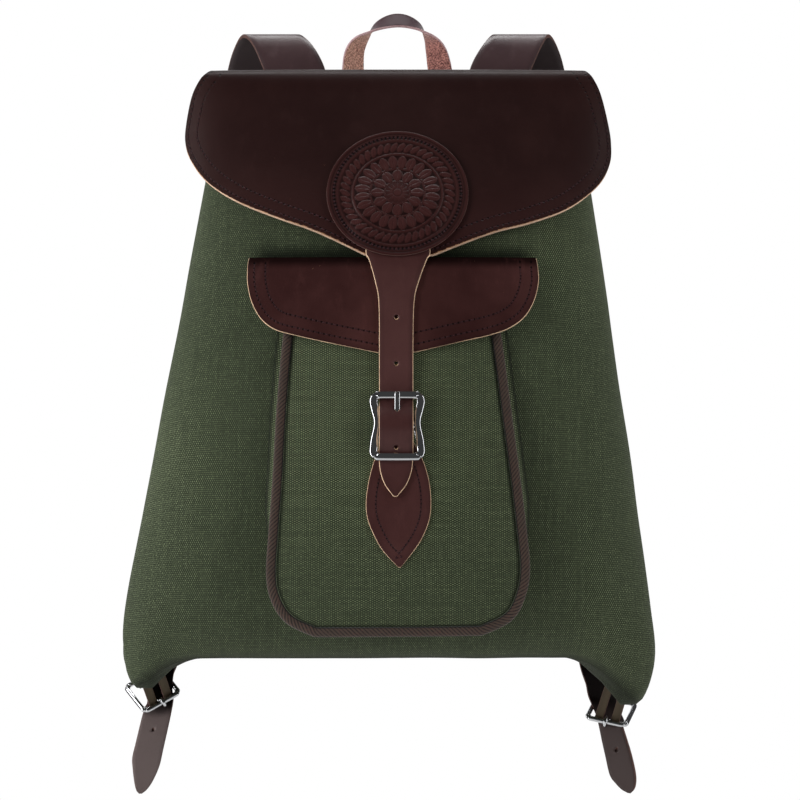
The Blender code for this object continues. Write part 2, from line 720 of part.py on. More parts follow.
def make_pocket_flap():
    shares = [column / (POCKET_FLAP_COLUMNS - 1) for column in range(POCKET_FLAP_COLUMNS)]
    grid = []
    for height, stand_off, left, right in POCKET_FLAP_FOLD_ROWS:
        row = []
        for share in shares:
            x = left + (right - left) * share
            row.append(Vector((x, bag_front(x, height) - stand_off, height)))
        grid.append(row)
    for left, left_z, right, right_z in POCKET_FLAP_ROWS:
        row = []
        for share in shares:
            x, height = left + (right - left) * share, left_z + (right_z - left_z) * share
            row.append(Vector((x, pocket_flap_middle(x, height), height)))
        grid.append(row)
    return sheet("pocket_flap", grid, FLAP_LEATHER, 0.0, "brown_leather")


def buckle_place(buckle):
    # Middle of a buckle and its three directions: across, up the frame and out of its face.
    across, up = Vector(buckle["across"]).normalized(), Vector(buckle["along"]).normalized()
    return Vector(buckle["middle"]), across, up, across.cross(up)


def frame_path(size, middle, across, up, face):
    # A rounded rectangle of wire, drawn in at the middle of its long sides and set back there.
    half_width, half_length, corner = size["width"] / 2, size["length"] / 2, size["corner"]
    path = []
    for turn, (side, end) in enumerate(((1, 1), (-1, 1), (-1, -1), (1, -1))):
        for step in range(4):
            angle = math.pi / 2 * (turn + step / 3)
            a = side * (half_width - corner) + corner * math.cos(angle)
            b = end * (half_length - corner) + corner * math.sin(angle)
            path.append((a, b))
        if side == end or size["waist"] == 0:
            continue
        for share in ((0.5, 0.0, -0.5) if side < 0 else (-0.5, 0.0, 0.5)):
            path.append((side * (half_width - size["waist"] * math.cos(share * math.pi)),
                         share * (half_length - corner) * 1.4))
    found = []
    for a, b in path:
        back = size["dip"] * max(0.0, 1 - (b / half_length) ** 2)
        found.append(middle + across * a + up * b - face * back)
    return found


def make_closure_buckle():
    middle, across, up, face = buckle_place(CLOSURE_BUCKLE)
    path = frame_path(CLOSURE_BUCKLE, middle, across, up, face)
    frame = tube("closure_buckle", path, [face] * len(path), (WIRE, WIRE), 8, "bright_steel", closed=True)
    reach = across * (CLOSURE_BUCKLE["width"] / 2 - CLOSURE_BUCKLE["waist"])
    centre = middle - face * CLOSURE_BUCKLE["dip"]
    bar = tube("closure_buckle_bar", [centre - reach, centre + reach], [face] * 2,
               (WIRE * 0.93, WIRE * 0.93), 8, "bright_steel")
    combine(frame, bar, "UNION")
    return frame


def prong_path(bar, up, face, ring, end, tip_face):
    # A ring round the bar that opens into a finger, up to where the finger rests on the frame.
    path = []
    for step in range(9):
        angle = math.radians(-200 + 34 * step)
        path.append(bar + up * ring * math.sin(angle) + face * ring * math.cos(angle))
    path.append(bar + up * (ring + end * 0.25) + face * (tip_face * 0.55 + ring * 0.25))
    path.append(bar + up * end * 0.75 + face * tip_face)
    path.append(bar + up * (end + 0.0016) + face * tip_face)
    return path


def make_closure_prong():
    middle, across, up, face = buckle_place(CLOSURE_BUCKLE)
    centre = middle - face * CLOSURE_BUCKLE["dip"]
    ring = WIRE + PRONG_CLEAR + PRONG_RADIUS
    path = prong_path(centre, up, face, ring, CLOSURE_BUCKLE["length"] / 2,
                      CLOSURE_BUCKLE["dip"] + ring + 0.0001)
    return tube("closure_prong", path, [across] * len(path), (PRONG_RADIUS, PRONG_RADIUS), 8, "bright_steel")


def wrap_rows(bar, across, up, face, radius, half_width, angles):
    # Rows of leather round a bar, at angles from the face direction, positive towards up.
    rows = []
    for angle in angles:
        turn = math.radians(angle)
        rows.append((bar + face * radius * math.cos(turn) + up * radius * math.sin(turn), across * half_width))
    return rows


def make_buckle_tab():
    middle, across, up, face = buckle_place(CLOSURE_BUCKLE)
    centre = middle - face * CLOSURE_BUCKLE["dip"]
    radius = WIRE + PRONG_CLEAR + TAB_LEATHER / 2
    rows = wrap_rows(centre, across, up, face, radius, 0.0105, (-25, 15, 55, 90, 125, 160))
    wrapped = len(rows)
    for height, left, right in TAB_ROWS:
        x = (left + right) / 2
        y = pocket_front(x, height) - GAP - TAB_LEATHER / 2
        rows.append((Vector((x, y, height)), Vector(((right - left) / 2, 0, 0))))
    slot = {(row, 1) for row in range(wrapped)}
    return band("buckle_tab", rows, (-1, -0.3, 0.3, 1), TAB_LEATHER, "brown_leather", slot)


def make_grab_handle():
    rows = []
    table = fill_in(HANDLE_ROWS, 2)
    for index, (x, y, height, turn) in enumerate(table):
        before, after = table[max(index - 1, 0)], table[min(index + 1, len(table) - 1)]
        forward = Vector((after[0] - before[0], 0, after[2] - before[2])).normalized()
        inward = Vector((forward.z, 0, -forward.x))
        angle = math.radians(turn)
        width = -inward * math.cos(angle) + Vector((0, -1, 0)) * math.sin(angle)
        rows.append((Vector((x, y, height)), width * HANDLE_WIDTH / 2))
    return band("grab_handle", rows, (-1, 1), STRAP_LEATHER, "strap_leather")


def strap_buckle_place(side):
    # The bar that the chape holds, and the buckle's directions: inwards, up the frame, out of its face.
    bar, inward, up = (Vector(part) for part in STRAP_BUCKLES[side])
    inward.normalize()
    up.normalize()
    face = inward.cross(up) * -side
    return bar, inward, up, face


def tilted(side, row):
    # A shoulder strap's row as its middle and half of its width, from outside to inside.
    x, y, height, half, tilt, turn = row
    tilt, turn = math.radians(tilt), math.radians(turn)
    inward = Vector((-side * math.cos(tilt) * math.cos(turn), math.cos(tilt) * math.sin(turn), math.sin(tilt)))
    return Vector((side * x, y, height)), inward * half


def make_shoulder_strap(side):
    bar, inward, up, face = strap_buckle_place(side)
    rows = [tilted(side, row) for row in SHOULDER_TOP_ROWS + SHOULDER_LOW_ROWS[side]]
    for a, b, c in SHOULDER_BUCKLE_ROWS:
        rows.append((bar + inward * a + up * b + face * c, inward * SHOULDER_BUCKLE_HALF))
    rows += [tilted(side, row) for row in TAIL_ROWS[side]]
    smooth = [(Vector(row[:3]), Vector(row[3:])) for row in fill_in([(*a, *b) for a, b in rows], 2)]
    strap = band(f"shoulder_strap_{SIDE_NAMES[side]}", smooth, (-1, 1), SHOULDER_LEATHER, "strap_leather")
    above, behind = SHOULDER_PRONG_HOLE
    punch(strap, "prong", bar + up * above - face * behind, up, PRONG_HOLE_RADIUS, PRONG_HOLE_DEPTH)
    punch(strap, "tail", TAIL_HOLES[side], (0, 1, 0), HOLE_RADIUS, HOLE_DEPTH)
    return strap


def make_strap_buckle(side):
    bar, inward, up, face = strap_buckle_place(side)
    middle = bar + up * STRAP_BUCKLE_SIZE["length"] / 2
    path = frame_path(STRAP_BUCKLE_SIZE, middle, inward, up, face)
    return tube(f"strap_buckle_{SIDE_NAMES[side]}", path, [face] * len(path), (WIRE, WIRE), 8,
                "bright_steel", closed=True)


def make_strap_prong(side):
    bar, inward, up, face = strap_buckle_place(side)
    ring = WIRE + PRONG_CLEAR + PRONG_RADIUS
    path = prong_path(bar, up, -face, ring, STRAP_BUCKLE_SIZE["length"], ring)
    return tube(f"strap_prong_{SIDE_NAMES[side]}", path, [inward] * len(path),
                (PRONG_RADIUS, PRONG_RADIUS), 8, "bright_steel")


def make_strap_anchor(side):
    bar, inward, up, face = strap_buckle_place(side)
    radius = WIRE + PRONG_CLEAR + ANCHOR_LEATHER / 2
    *starts, lie = ANCHOR_STARTS[side]
    rows = [(Vector(start), Vector(lie).normalized() * ANCHOR_HALF_WIDTH) for start in starts]
    rows += wrap_rows(bar, inward, up, face, radius, ANCHOR_HALF_WIDTH, (-60, -100, -140, -180, -220, -260))
    rows.append((bar + up * radius + face * 0.006, inward * ANCHOR_HALF_WIDTH))
    slot = {(row, 1) for row in range(1, len(rows))}
    return band(f"strap_anchor_{SIDE_NAMES[side]}", rows, (-1, -0.3, 0.3, 1), ANCHOR_LEATHER,
                "brown_leather", slot)


def main():
    clear_scene()
    make_canvas_bag()
    make_lid_flap()
    make_medallion()
    make_closure_strap()
    make_front_pocket()
    make_pocket_binding()
    make_pocket_flap()
    make_buckle_tab()
    make_closure_buckle()
    make_closure_prong()
    make_grab_handle()
    for side in (-1, 1):
        make_shoulder_strap(side)
        make_strap_buckle(side)
        make_strap_prong(side)
        make_strap_anchor(side)


main()
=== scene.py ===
import math

import bpy
import numpy as np
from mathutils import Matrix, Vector, noise
from mathutils.bvhtree import BVHTree
from mathutils.kdtree import KDTree


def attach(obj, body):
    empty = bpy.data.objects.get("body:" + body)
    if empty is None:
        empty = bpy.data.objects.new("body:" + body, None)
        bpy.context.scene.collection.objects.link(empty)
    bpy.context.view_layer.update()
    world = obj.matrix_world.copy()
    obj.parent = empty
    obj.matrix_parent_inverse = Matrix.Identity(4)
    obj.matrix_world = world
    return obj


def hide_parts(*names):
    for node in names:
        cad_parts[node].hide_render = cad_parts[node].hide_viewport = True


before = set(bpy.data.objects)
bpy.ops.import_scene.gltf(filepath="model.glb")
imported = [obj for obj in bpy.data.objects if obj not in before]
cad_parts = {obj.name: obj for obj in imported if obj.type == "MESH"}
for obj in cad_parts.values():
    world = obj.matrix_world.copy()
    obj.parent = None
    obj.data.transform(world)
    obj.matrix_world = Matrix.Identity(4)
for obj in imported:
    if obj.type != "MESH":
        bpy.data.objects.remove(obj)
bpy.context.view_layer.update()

scene = bpy.context.scene

# Node helpers. New nodes go into the tree that lies on the bench.

bench = {"tree": None}


class Wire:
    # A value between two nodes, which can be added and multiplied as a number can
    def __init__(self, socket):
        self.socket = socket

    def __add__(self, other):
        return calc("ADD", self, other)

    def __sub__(self, other):
        return calc("SUBTRACT", self, other)

    def __rsub__(self, other):
        return calc("SUBTRACT", other, self)

    def __mul__(self, other):
        return calc("MULTIPLY", self, other)

    def __truediv__(self, other):
        return calc("DIVIDE", self, other)

    def __abs__(self):
        return calc("ABSOLUTE", self)


def feed(node, socket, value):
    if isinstance(value, Wire):
        bench["tree"].links.new(value.socket, node.inputs[socket])
    else:
        node.inputs[socket].default_value = value


def wired(kind, output, inputs=None, **settings):
    # Adds a node, sets it up, feeds its inputs and gives one of its outputs
    node = bench["tree"].nodes.new("ShaderNode" + kind)
    for label, value in settings.items():
        setattr(node, label, value)
    for socket, value in (inputs or {}).items():
        feed(node, socket, value)
    return Wire(node.outputs[output])


def calc(operation, *values, clamp=False):
    return wired("Math", 0, dict(enumerate(values)), operation=operation, use_clamp=clamp)


def scaled(value, factor, plus, clamp=False):
    return calc("MULTIPLY_ADD", value, factor, plus, clamp=clamp)


def spread(value, low, high, newLow=0.0, newHigh=1.0):
    # Maps a value between two limits to two others, smoothly
    limits = {"Value": value, "From Min": low, "From Max": high, "To Min": newLow, "To Max": newHigh}
    return wired("MapRange", "Result", limits, interpolation_type="SMOOTHSTEP")


def seen(colour):
    # A colour as it looks on screen, from 0 to 255, as the shader wants it
    return tuple(((part / 255 + 0.055) / 1.055) ** 2.4 for part in colour) + (1.0,)


def toned(colour, factor):
    return tuple(part * factor for part in colour)


def layered(colour, *layers):
    # Lays each next colour over the last one by its mask. Plain colours are as they look on screen.
    for mask, tone in layers:
        colour, tone = (part if isinstance(part, Wire) else seen(part) for part in (colour, tone))
        colour = wired("Mix", 2, {0: mask, 6: colour, 7: tone}, data_type="RGBA")
    return colour


def cloudy(vector, scale, detail=3.0, rough=0.5):
    return wired("TexNoise", "Fac", {"Vector": vector, "Scale": scale, "Detail": detail, "Roughness": rough})


def stretched(vector, along):
    # The same place with its axes scaled, for streaks
    return wired("VectorMath", 0, {0: vector, 1: along}, operation="MULTIPLY")


def axisOf(vector, axis):
    return wired("SeparateXYZ", axis, {0: vector})


def placeOf():
    return wired("TexCoord", "Object")


def weaveMapOf():
    return wired("UVMap", 0, uv_map="WeaveMap")


def attributeOf(name):
    return wired("Attribute", "Fac", attribute_name=name)


def startGroup(name, **inputs):
    # A shader group with these inputs: a number, or None where it is a vector
    tree = bpy.data.node_groups.new(name, "ShaderNodeTree")
    for label, value in inputs.items():
        kind = "NodeSocketVector" if value is None else "NodeSocketFloat"
        socket = tree.interface.new_socket(name=label, in_out="INPUT", socket_type=kind)
        if value is not None:
            socket.default_value = value
    bench["tree"] = tree
    start = tree.nodes.new("NodeGroupInput")
    return tree, *[Wire(start.outputs[label]) for label in inputs]


def endGroup(tree, **outputs):
    for label in outputs:
        tree.interface.new_socket(name=label, in_out="OUTPUT", socket_type="NodeSocketFloat")
    end = tree.nodes.new("NodeGroupOutput")
    for label, value in outputs.items():
        feed(end, label, value)
    return tree


def placeGroup(group, **inputs):
    node = bench["tree"].nodes.new("ShaderNodeGroup")
    node.node_tree = group
    for label, value in inputs.items():
        feed(node, label, value)
    return {socket.name: Wire(socket) for socket in node.outputs}


def startMaterial(name):
    material = bpy.data.materials.new(name)
    material.use_nodes = True
    bench["tree"] = material.node_tree
    return material


def setShader(material, sockets):
    for label, value in sockets.items():
        feed(material.node_tree.nodes["Principled BSDF"], label, value)
    return material


def finishMaterial(material, colour, rough, height, strength, depth, **sockets):
    # Relief is the height's strength and its depth in metres. Sockets are more of the shader's own.
    bump = wired("Bump", "Normal", {"Strength": strength, "Distance": depth, "Height": height})
    setShader(material, {"Base Color": colour, "Roughness": rough, "Normal": bump})
    return setShader(material, {label.replace("_", " "): value for label, value in sockets.items()})


# Camera and light

photoCamera = {
    "place": (0, -2.675, -0.2954),   # level with the middle of the bag, 2.6 m before its front
    "lens": 36 / (0.616 / 2.6),      # the picture is 616 mm wide at that distance
    "shift": 2.5 / 800,
    "sensor": 36, "reach": 60,
}

studio = {
    "backdrop": 1.0,      # how bright the plain background looks
    "ambient": 0.125,     # light that comes from all sides
    "gloss": 0.06,        # how bright the room is in reflections, apart from the softboxes
    "floorZ": -1.30, "floorHalf": 3.0,
    "floorPaint": {"Base Color": (0.8, 0.8, 0.79, 1), "Roughness": 0.7},
    "aim": (0, -0.05, -0.30),          # every light looks at the middle of the bag
    "lights": (
        # name, place, width, height, watts, whether it lights cloth, whether it shows in reflections
        ("keyBox", (-2.10, -1.85, 0.35), 1.0, 1.8, 41, True, False),
        ("fillBox", (2.10, -1.60, 0.15), 0.8, 1.8, 21, True, False),
        ("leftBox", (-2.30, -0.35, -0.10), 0.6, 1.6, 30, True, False),
        ("leftStrip", (-2.30, -0.45, -0.20), 0.6, 3.6, 44, False, True),
        ("rightBox", (2.30, -0.35, 0.00), 0.5, 1.6, 12, True, False),
        ("rightStrip", (2.30, -0.45, -0.20), 0.5, 3.6, 20, False, True),
        ("topBox", (0.0, 0.40, 1.25), 1.8, 0.5, 19, True, True),
        ("rearBox", (0.0, 2.3, 0.0), 3.6, 2.8, 38, True, True),
    ),
}


def addObject(name, data, place=(0, 0, 0), turn=(0, 0, 0)):
    thing = bpy.data.objects.new(name, data)
    thing.location, thing.rotation_euler = place, turn
    scene.collection.objects.link(thing)
    return thing


def makeCamera():
    data = bpy.data.cameras.new("photoCamera")
    data.sensor_width = photoCamera["sensor"]
    data.lens = photoCamera["lens"]
    data.shift_x = photoCamera["shift"]
    data.clip_end = photoCamera["reach"]
    scene.camera = addObject("photoCamera", data, photoCamera["place"], (math.pi / 2, 0, 0))


def makeStudio():
    scene.world = world = bpy.data.worlds.new("studio")
    world.use_nodes = True
    bench["tree"] = world.node_tree
    strength = studio["ambient"]
    for ray, brightness in (("Is Glossy Ray", studio["gloss"]), ("Is Camera Ray", studio["backdrop"])):
        strength = wired("Mix", 0, {0: wired("LightPath", ray), 2: strength, 3: brightness})
    feed(world.node_tree.nodes["Background"], "Color", (1, 1, 1, 1))
    feed(world.node_tree.nodes["Background"], "Strength", strength)
    for name, place, width, height, watts, diffuse, mirrored in studio["lights"]:
        data = bpy.data.lights.new(name, "AREA")
        data.shape = "RECTANGLE"
        data.size, data.size_y, data.energy = width, height, watts
        toBag = Vector(studio["aim"]) - Vector(place)
        light = addObject(name, data, place, toBag.to_track_quat("-Z", "Y").to_euler())
        light.visible_camera, light.visible_diffuse, light.visible_glossy = False, diffuse, mirrored
    scene.view_settings.view_transform = "Standard"
    scene.view_settings.look = "None"
    floorMesh = bpy.data.meshes.new("studioFloor")
    half, z = studio["floorHalf"], studio["floorZ"]
    corners = [(-half, -half, z), (half, -half, z), (half, half, z), (-half, half, z)]
    floorMesh.from_pydata(corners, [], [(0, 1, 2, 3)])
    floorMesh.materials.append(setShader(startMaterial("paleFloor"), studio["floorPaint"]))
    floor = addObject("studioFloor", floorMesh)


makeCamera()
makeStudio()
print("camera and studio are ready")

# Shader groups that several materials share


def makeWeaveGroup():
    # Plain weave: one yarn over, one yarn under, with uneven yarns. Vector is in yarns.
    rise = 0.6                                  # how far the upper yarn stands over the lower one
    tree, yarns = startGroup("plainWeave", Vector=None)
    across, down = (calc("SINE", axisOf(yarns, axis) * math.pi) for axis in (0, 1))
    over = across * down
    warp, weft = scaled(over, rise, abs(across)), abs(down) - over * rise
    height = calc("MAXIMUM", warp, weft)
    cell = wired("VectorMath", 0, {0: yarns}, operation="FLOOR")
    speck = wired("TexWhiteNoise", "Value", {"Vector": cell}, noise_dimensions="2D")
    warpSlub, weftSlub = (cloudy(stretched(yarns, along), 1.0, 2.0) for along in ((0.7, 0.03, 1), (0.03, 0.7, 1)))
    slub = wired("Mix", 0, {0: calc("GREATER_THAN", warp, weft), 2: weftSlub, 3: warpSlub})
    return endGroup(tree, Height=height, Speck=speck, Slub=slub, Gap=spread(height, 0.25, 0.75, 1.0, 0.0),
                    Crown=spread(over, 0.05, 0.85))


def makeGrainGroup():
    # Leather's pebbled grain, its pores, its cloudy dye and its scuffs
    tree, place, scale = startGroup("leatherGrain", Vector=None, Scale=900.0)
    pebbles = wired("TexVoronoi", "Distance", {"Vector": place, "Scale": scale}, feature="DISTANCE_TO_EDGE")
    fine = cloudy(place, scale * 1.7)
    scuff = cloudy(stretched(place, (1, 1, 0.25)), 90.0, 5.0, 0.7)
    return endGroup(tree, Height=scaled(spread(pebbles, 0.0, 0.28), 0.55, fine * 0.8), Pores=spread(fine, 0.56, 0.72),
                    Cloud=spread(cloudy(place, 14.0, 4.0, 0.6), 0.30, 0.72), Scuff=spread(scuff, 0.54, 0.76))


def makeEdgeGroup():
    # How worn or burnished a spot is, from its distance to the cut edge in mm
    tree, place, distance, width = startGroup("edgeWear", Vector=None, Distance=10.0, Width=1.2)
    reach = width * scaled(cloudy(place, 420.0, 4.0, 0.7), 2.4, -0.6)
    return endGroup(tree, Worn=spread(distance, reach * 0.4, reach, 1.0, 0.0),
                    Burnish=spread(distance, 0.5, 5.0, 1.0, 0.0))


def makeSeamGroup():
    # Needle holes and the pressed line of a row of stitches. Every input is in mm.
    tree, along, distance, row, pitch, size = startGroup(
        "stitchRow", Along=0.0, Distance=50.0, Row=4.0, Pitch=4.0, Size=0.55)
    off = abs(distance - row)
    near = abs(calc("FRACT", along / pitch + 0.5) - 0.5) * pitch
    away = calc("SQRT", off * off + near * near)
    return endGroup(tree, Hole=spread(away, size * 0.6, size * 1.5, 1.0, 0.0), Groove=spread(off, 0.2, 1.5, 1.0, 0.0))


def makeHeightGroup():
    # 1 above a height and 0 below it
    tree, place, height, blend = startGroup("aboveHeight", Vector=None, Height=0.0, Blend=0.02)
    return endGroup(tree, Above=spread(axisOf(place, 2), scaled(blend, -0.5, height), scaled(blend, 0.5, height)))


weaveGroup = makeWeaveGroup()
grainGroup = makeGrainGroup()
edgeGroup = makeEdgeGroup()
seamGroup = makeSeamGroup()
heightGroup = makeHeightGroup()


def aboveOf(place, height, blend):
    return placeGroup(heightGroup, Vector=place, Height=height, Blend=blend)["Above"]


# Materials

finishes = {
    # colours as they look on screen; rows, pitch and hole in mm; heights in metres
    "lid": {
        "colour": (36, 18, 17), "cloud": (46, 24, 22), "edge": (170, 124, 92), "rough": 0.46, "shine": 0.12,
        # the worn band beside the cut edge shows only below a slanted height, higher on the left: real edge wear, with
        # painted light deciding where it shows
        "rows": (3.9, 12.4), "pitch": 4.3, "hole": 0.70, "sewnBelow": -0.0405, "wornAndLitBelow": (-0.114, -0.065),
        "wornWidth": 1.5, "paler": ((60, 34, 33), -0.145),
    },
    "patch": {
        "colour": (63, 36, 35), "cloud": (90, 58, 56), "edge": (150, 104, 80), "rough": 0.40, "shine": 0.26,
    },
    "medallion": {
        "colour": (48, 25, 24), "cloud": (60, 33, 31), "edge": (84, 52, 46), "rough": 0.36, "shine": 0.15,
        "rows": (5.4,), "pitch": 3.46, "hole": 1.20,
        "rubbed": (78, 42, 41), "sunk": (20, 9, 9),
    },
    "pocketFlap": {
        "colour": (51, 27, 26), "cloud": (80, 48, 46), "edge": (190, 146, 112), "rough": 0.44, "shine": 0.12,
        # the top of the flap's fold gets painted shade and less shine
        "rows": (5.7, 14.3), "pitch": 4.1, "hole": 0.72, "shadeAbove": ((12, 6, 6), -0.1945),
    },
    "tab": {
        "colour": (63, 35, 34), "cloud": (86, 54, 52), "edge": (160, 114, 84), "rough": 0.42, "shine": 0.24,
        "rows": (7.4,), "pitch": 3.4, "hole": 0.65, "sewnBelow": -0.332,
    },
    "chape": {
        "colour": (70, 60, 47), "cloud": (86, 74, 58), "edge": (110, 92, 76), "rough": 0.60, "shine": 0.20,
    },
    "handle": {
        "colour": (62, 41, 47), "cloud": (76, 53, 59), "edge": (160, 112, 110), "rough": 0.44, "shine": 0.09,
    },
    "strap": {
        "colour": (64, 46, 48), "cloud": (82, 60, 62), "edge": (110, 78, 72), "rough": 0.34, "shine": 0.55,
    },
}

leather = {
    # scale of the grain; then shares of each layer in the colour, and how much it changes the dye
    "grain": 1100.0, "cloud": 0.6, "scuff": (0.16, 1.3), "pores": (0.35, 0.6), "burnish": (0.35, 0.7),
    "holeShade": ((8, 4, 5), 0.92),       # painted shade in the needle holes, and how much of it shows
    "wornWidth": 0.32,                 # mm of the face that are worn beside a cut edge
    "relief": {"grain": 0.12, "groove": 0.12, "hole": 0.7},
}

canvas = {
    "yarns": (0.84, 1.60),             # mm from yarn to yarn, across and down
    "colour": (57, 65, 48),
    "light": (138, 150, 113),          # the crowns of the yarns: their paler tone with painted highlight
    "dark": (12, 16, 10),              # painted shade between the yarns, and in the cloth's other painted shade; thin yarns darken towards it
    "sheen": (190, 200, 160),
    "broad": (0.35, 0.86),             # how much of the broad clouds shows, and how dark they are
    "crest": (0.45, 0.25),             # how pale a crown is, painted highlight included: for its own speck, and for all of them
}


def makeCanvas():
    material = startMaterial("oliveCanvas")
    weave = placeGroup(weaveGroup, Vector=stretched(weaveMapOf(), [1 / size for size in canvas["yarns"]] + [1]))
    speck = weave["Speck"] * weave["Speck"]
    # crowns are paler in the patches of painted light
    crest = scaled(speck, *canvas["crest"]) + attributeOf("paintedLight")
    share, factor = canvas["broad"]
    colour = layered(
        canvas["colour"],
        (spread(cloudy(placeOf(), 9.0, 4.0, 0.6), 0.3, 0.7) * share, toned(canvas["colour"], factor)),
        # paler yarn crowns: a random tone per yarn, with painted highlight on their tops
        (calc("MULTIPLY", weave["Crown"], crest, clamp=True), canvas["light"]),
        (spread(weave["Slub"], 0.40, 0.66, 0.30, 0.0), canvas["dark"]),
        # painted shade between the yarns
        (weave["Gap"] * (1.0 - speck * 0.4), canvas["dark"]),
        # painted shade in the dent above the pocket's flap, beside the pocket and under the base
        (attributeOf("paintedShade"), canvas["dark"]))
    return finishMaterial(material, colour, 0.92, weave["Height"], 0.8, 0.00022, Specular_IOR_Level=0.25,
                          Sheen_Weight=0.05, Sheen_Roughness=0.5, Sheen_Tint=seen(canvas["sheen"]))


def makeLeather(name):
    facts, relief = finishes[name], leather["relief"]
    material = startMaterial(name + "Leather")
    place, distance = placeOf(), attributeOf("edgeDistance")
    grain = placeGroup(grainGroup, Vector=place, Scale=leather["grain"])
    wear = placeGroup(edgeGroup, Vector=place, Distance=distance, Width=facts.get("wornWidth", leather["wornWidth"]))
    colour = layered(facts["colour"], (grain["Cloud"] * leather["cloud"], facts["cloud"]))
    shine, worn = facts["shine"], wear["Worn"]
    if "paler" in facts:
        tone, height = facts["paler"]
        colour = layered(colour, (scaled(aboveOf(place, height, 0.07), -0.5, 0.5), tone))
    # painted shade above a height, with less shine there
    if "shadeAbove" in facts:
        tone, height = facts["shadeAbove"]
        above = aboveOf(place, height, 0.008)
        colour = layered(colour, (above * 0.85, tone))
        shine = scaled(above, -shine, shine, clamp=True)
    for mask, layer, dye in ((grain["Scuff"], "scuff", "cloud"), (grain["Pores"], "pores", "colour"),
                             (wear["Burnish"], "burnish", "colour")):
        share, factor = leather[layer]
        colour = layered(colour, (mask * share, toned(facts[dye], factor)))
    # the worn band shows only below a slanted height: painted light on the edges that catch it
    if "wornAndLitBelow" in facts:
        height, slant = facts["wornAndLitBelow"]
        worn = worn * (1.0 - aboveOf(place, scaled(axisOf(place, 0), slant, height), 0.012))
    colour = layered(colour, (worn, facts["edge"]))
    if "rubbed" in facts:
        tooling = attributeOf("tooling")
        colour = layered(colour, (spread(tooling, 0.25, 1.0, 0.0, 0.40), facts["rubbed"]),
                         (spread(tooling, -0.7, -0.05, 0.80, 0.0), facts["sunk"]))
    height = grain["Height"] * relief["grain"]
    for row in facts.get("rows", ()):
        seam = placeGroup(seamGroup, Along=attributeOf("edgeAlong"), Distance=distance, Row=row,
                          Pitch=facts["pitch"], Size=facts["hole"])
        hole, groove = seam["Hole"], seam["Groove"]
        if "sewnBelow" in facts:
            sewn = 1.0 - aboveOf(place, facts["sewnBelow"], 0.001)
            hole, groove = hole * sewn, groove * sewn
        # painted shade in each needle hole
        tone, share = leather["holeShade"]
        colour = layered(colour, (hole * share, tone))
        height = height - groove * relief["groove"] - hole * relief["hole"]
    rough = scaled(grain["Scuff"], 0.14, scaled(grain["Cloud"], 0.10, facts["rough"] - 0.05))
    rough = scaled(wear["Worn"], 0.35, rough, clamp=True)
    return finishMaterial(material, colour, rough, height, 0.6, 0.0005, Specular_IOR_Level=shine)


def makeSuede():
    material, place = startMaterial("fleshSide"), placeOf()
    nap, blot = cloudy(place, 880.0, 3.0, 0.8), cloudy(place, 160.0, 4.0, 0.6)
    paintedLight = spread(axisOf(place, 0), -0.03, 0.03, 1.0, 0.0)       # painted light: one leg of the handle is paler
    low, high = layered((88, 48, 46), (paintedLight, (148, 94, 82))), layered((214, 150, 138), (paintedLight, (255, 206, 182)))
    colour = layered(low, (spread(nap, 0.38, 0.64), high), (spread(blot, 0.52, 0.75, 0.0, 0.35), (84, 50, 48)))
    return finishMaterial(material, colour, 0.95, nap + blot * 0.6, 0.7, 0.0006, Sheen_Weight=0.3)


def makeDarkSuede():
    material, place = startMaterial("darkFleshSide"), placeOf()
    nap, blot = cloudy(place, 800.0, 5.0, 0.75), cloudy(place, 60.0, 4.0, 0.6)
    colour = layered((42, 34, 34), (spread(nap, 0.3, 0.72), (86, 70, 68)),
                     (spread(blot, 0.45, 0.75, 0.0, 0.4), (60, 44, 42)))
    return finishMaterial(material, colour, 0.85, nap, 0.6, 0.0005)


def makeCutEdge(name, low, high, edgeShadeAbove=None):
    # The raw side of cut leather: layered fibres, and painted shade above a height
    material, place = startMaterial(name), placeOf()
    fibre, blot = cloudy(place, 1500.0, 4.0, 0.8), cloudy(place, 180.0, 3.0, 0.6)
    colour = layered(low, (spread(fibre, 0.3, 0.7), high), (spread(blot, 0.5, 0.72, 0.0, 0.45), toned(low, 0.62)))
    # painted shade on the edge above that height
    if edgeShadeAbove is not None:
        colour = layered(colour, (aboveOf(place, edgeShadeAbove, 0.02), (46, 29, 28)))
    return finishMaterial(material, colour, 0.85, fibre, 0.8, 0.0005)


pocketBinding = {
    "halfWidth": 0.0036, "halfThickness": 0.0016, "forward": 0.0012,
    "groove": 2.2,                     # mm round its inner side that lie in the painted shade of the seam
}


def makeTwill():
    material, place, weaveMap = startMaterial("brownTwill"), placeOf(), weaveMapOf()
    along, around = axisOf(weaveMap, 0), axisOf(weaveMap, 1)       # mm along the tape and round it
    slant = scaled(along, 0.31, around * -0.44)
    ridge, notch = (abs(calc("SINE", turn)) for turn in (slant * math.pi, along * 2.6))
    inner = math.pi * (pocketBinding["halfWidth"] + pocketBinding["halfThickness"]) * 500
    # painted shade where the binding's inner side meets the pocket
    seam = spread(abs(around - inner), 1.3, pocketBinding["groove"], 1.0, 0.0)
    # the twill's ridges are painted lighter and the hollows between them darker: painted highlight and shade
    colour = layered((18, 12, 11), (spread(ridge, 0.20, 0.85), (71, 58, 50)),
                     (spread(cloudy(place, 700.0, 3.0, 0.6), 0.45, 0.7, 0.0, 0.6), (80, 54, 48)),
                     (spread(cloudy(place, 25.0, 3.0, 0.6), 0.4, 0.7, 0.0, 0.4), (48, 40, 34)), (seam, (10, 6, 6)))
    return finishMaterial(material, colour, 0.88, scaled(notch, 0.20, ridge), 0.8, 0.0003, Sheen_Weight=0.2)


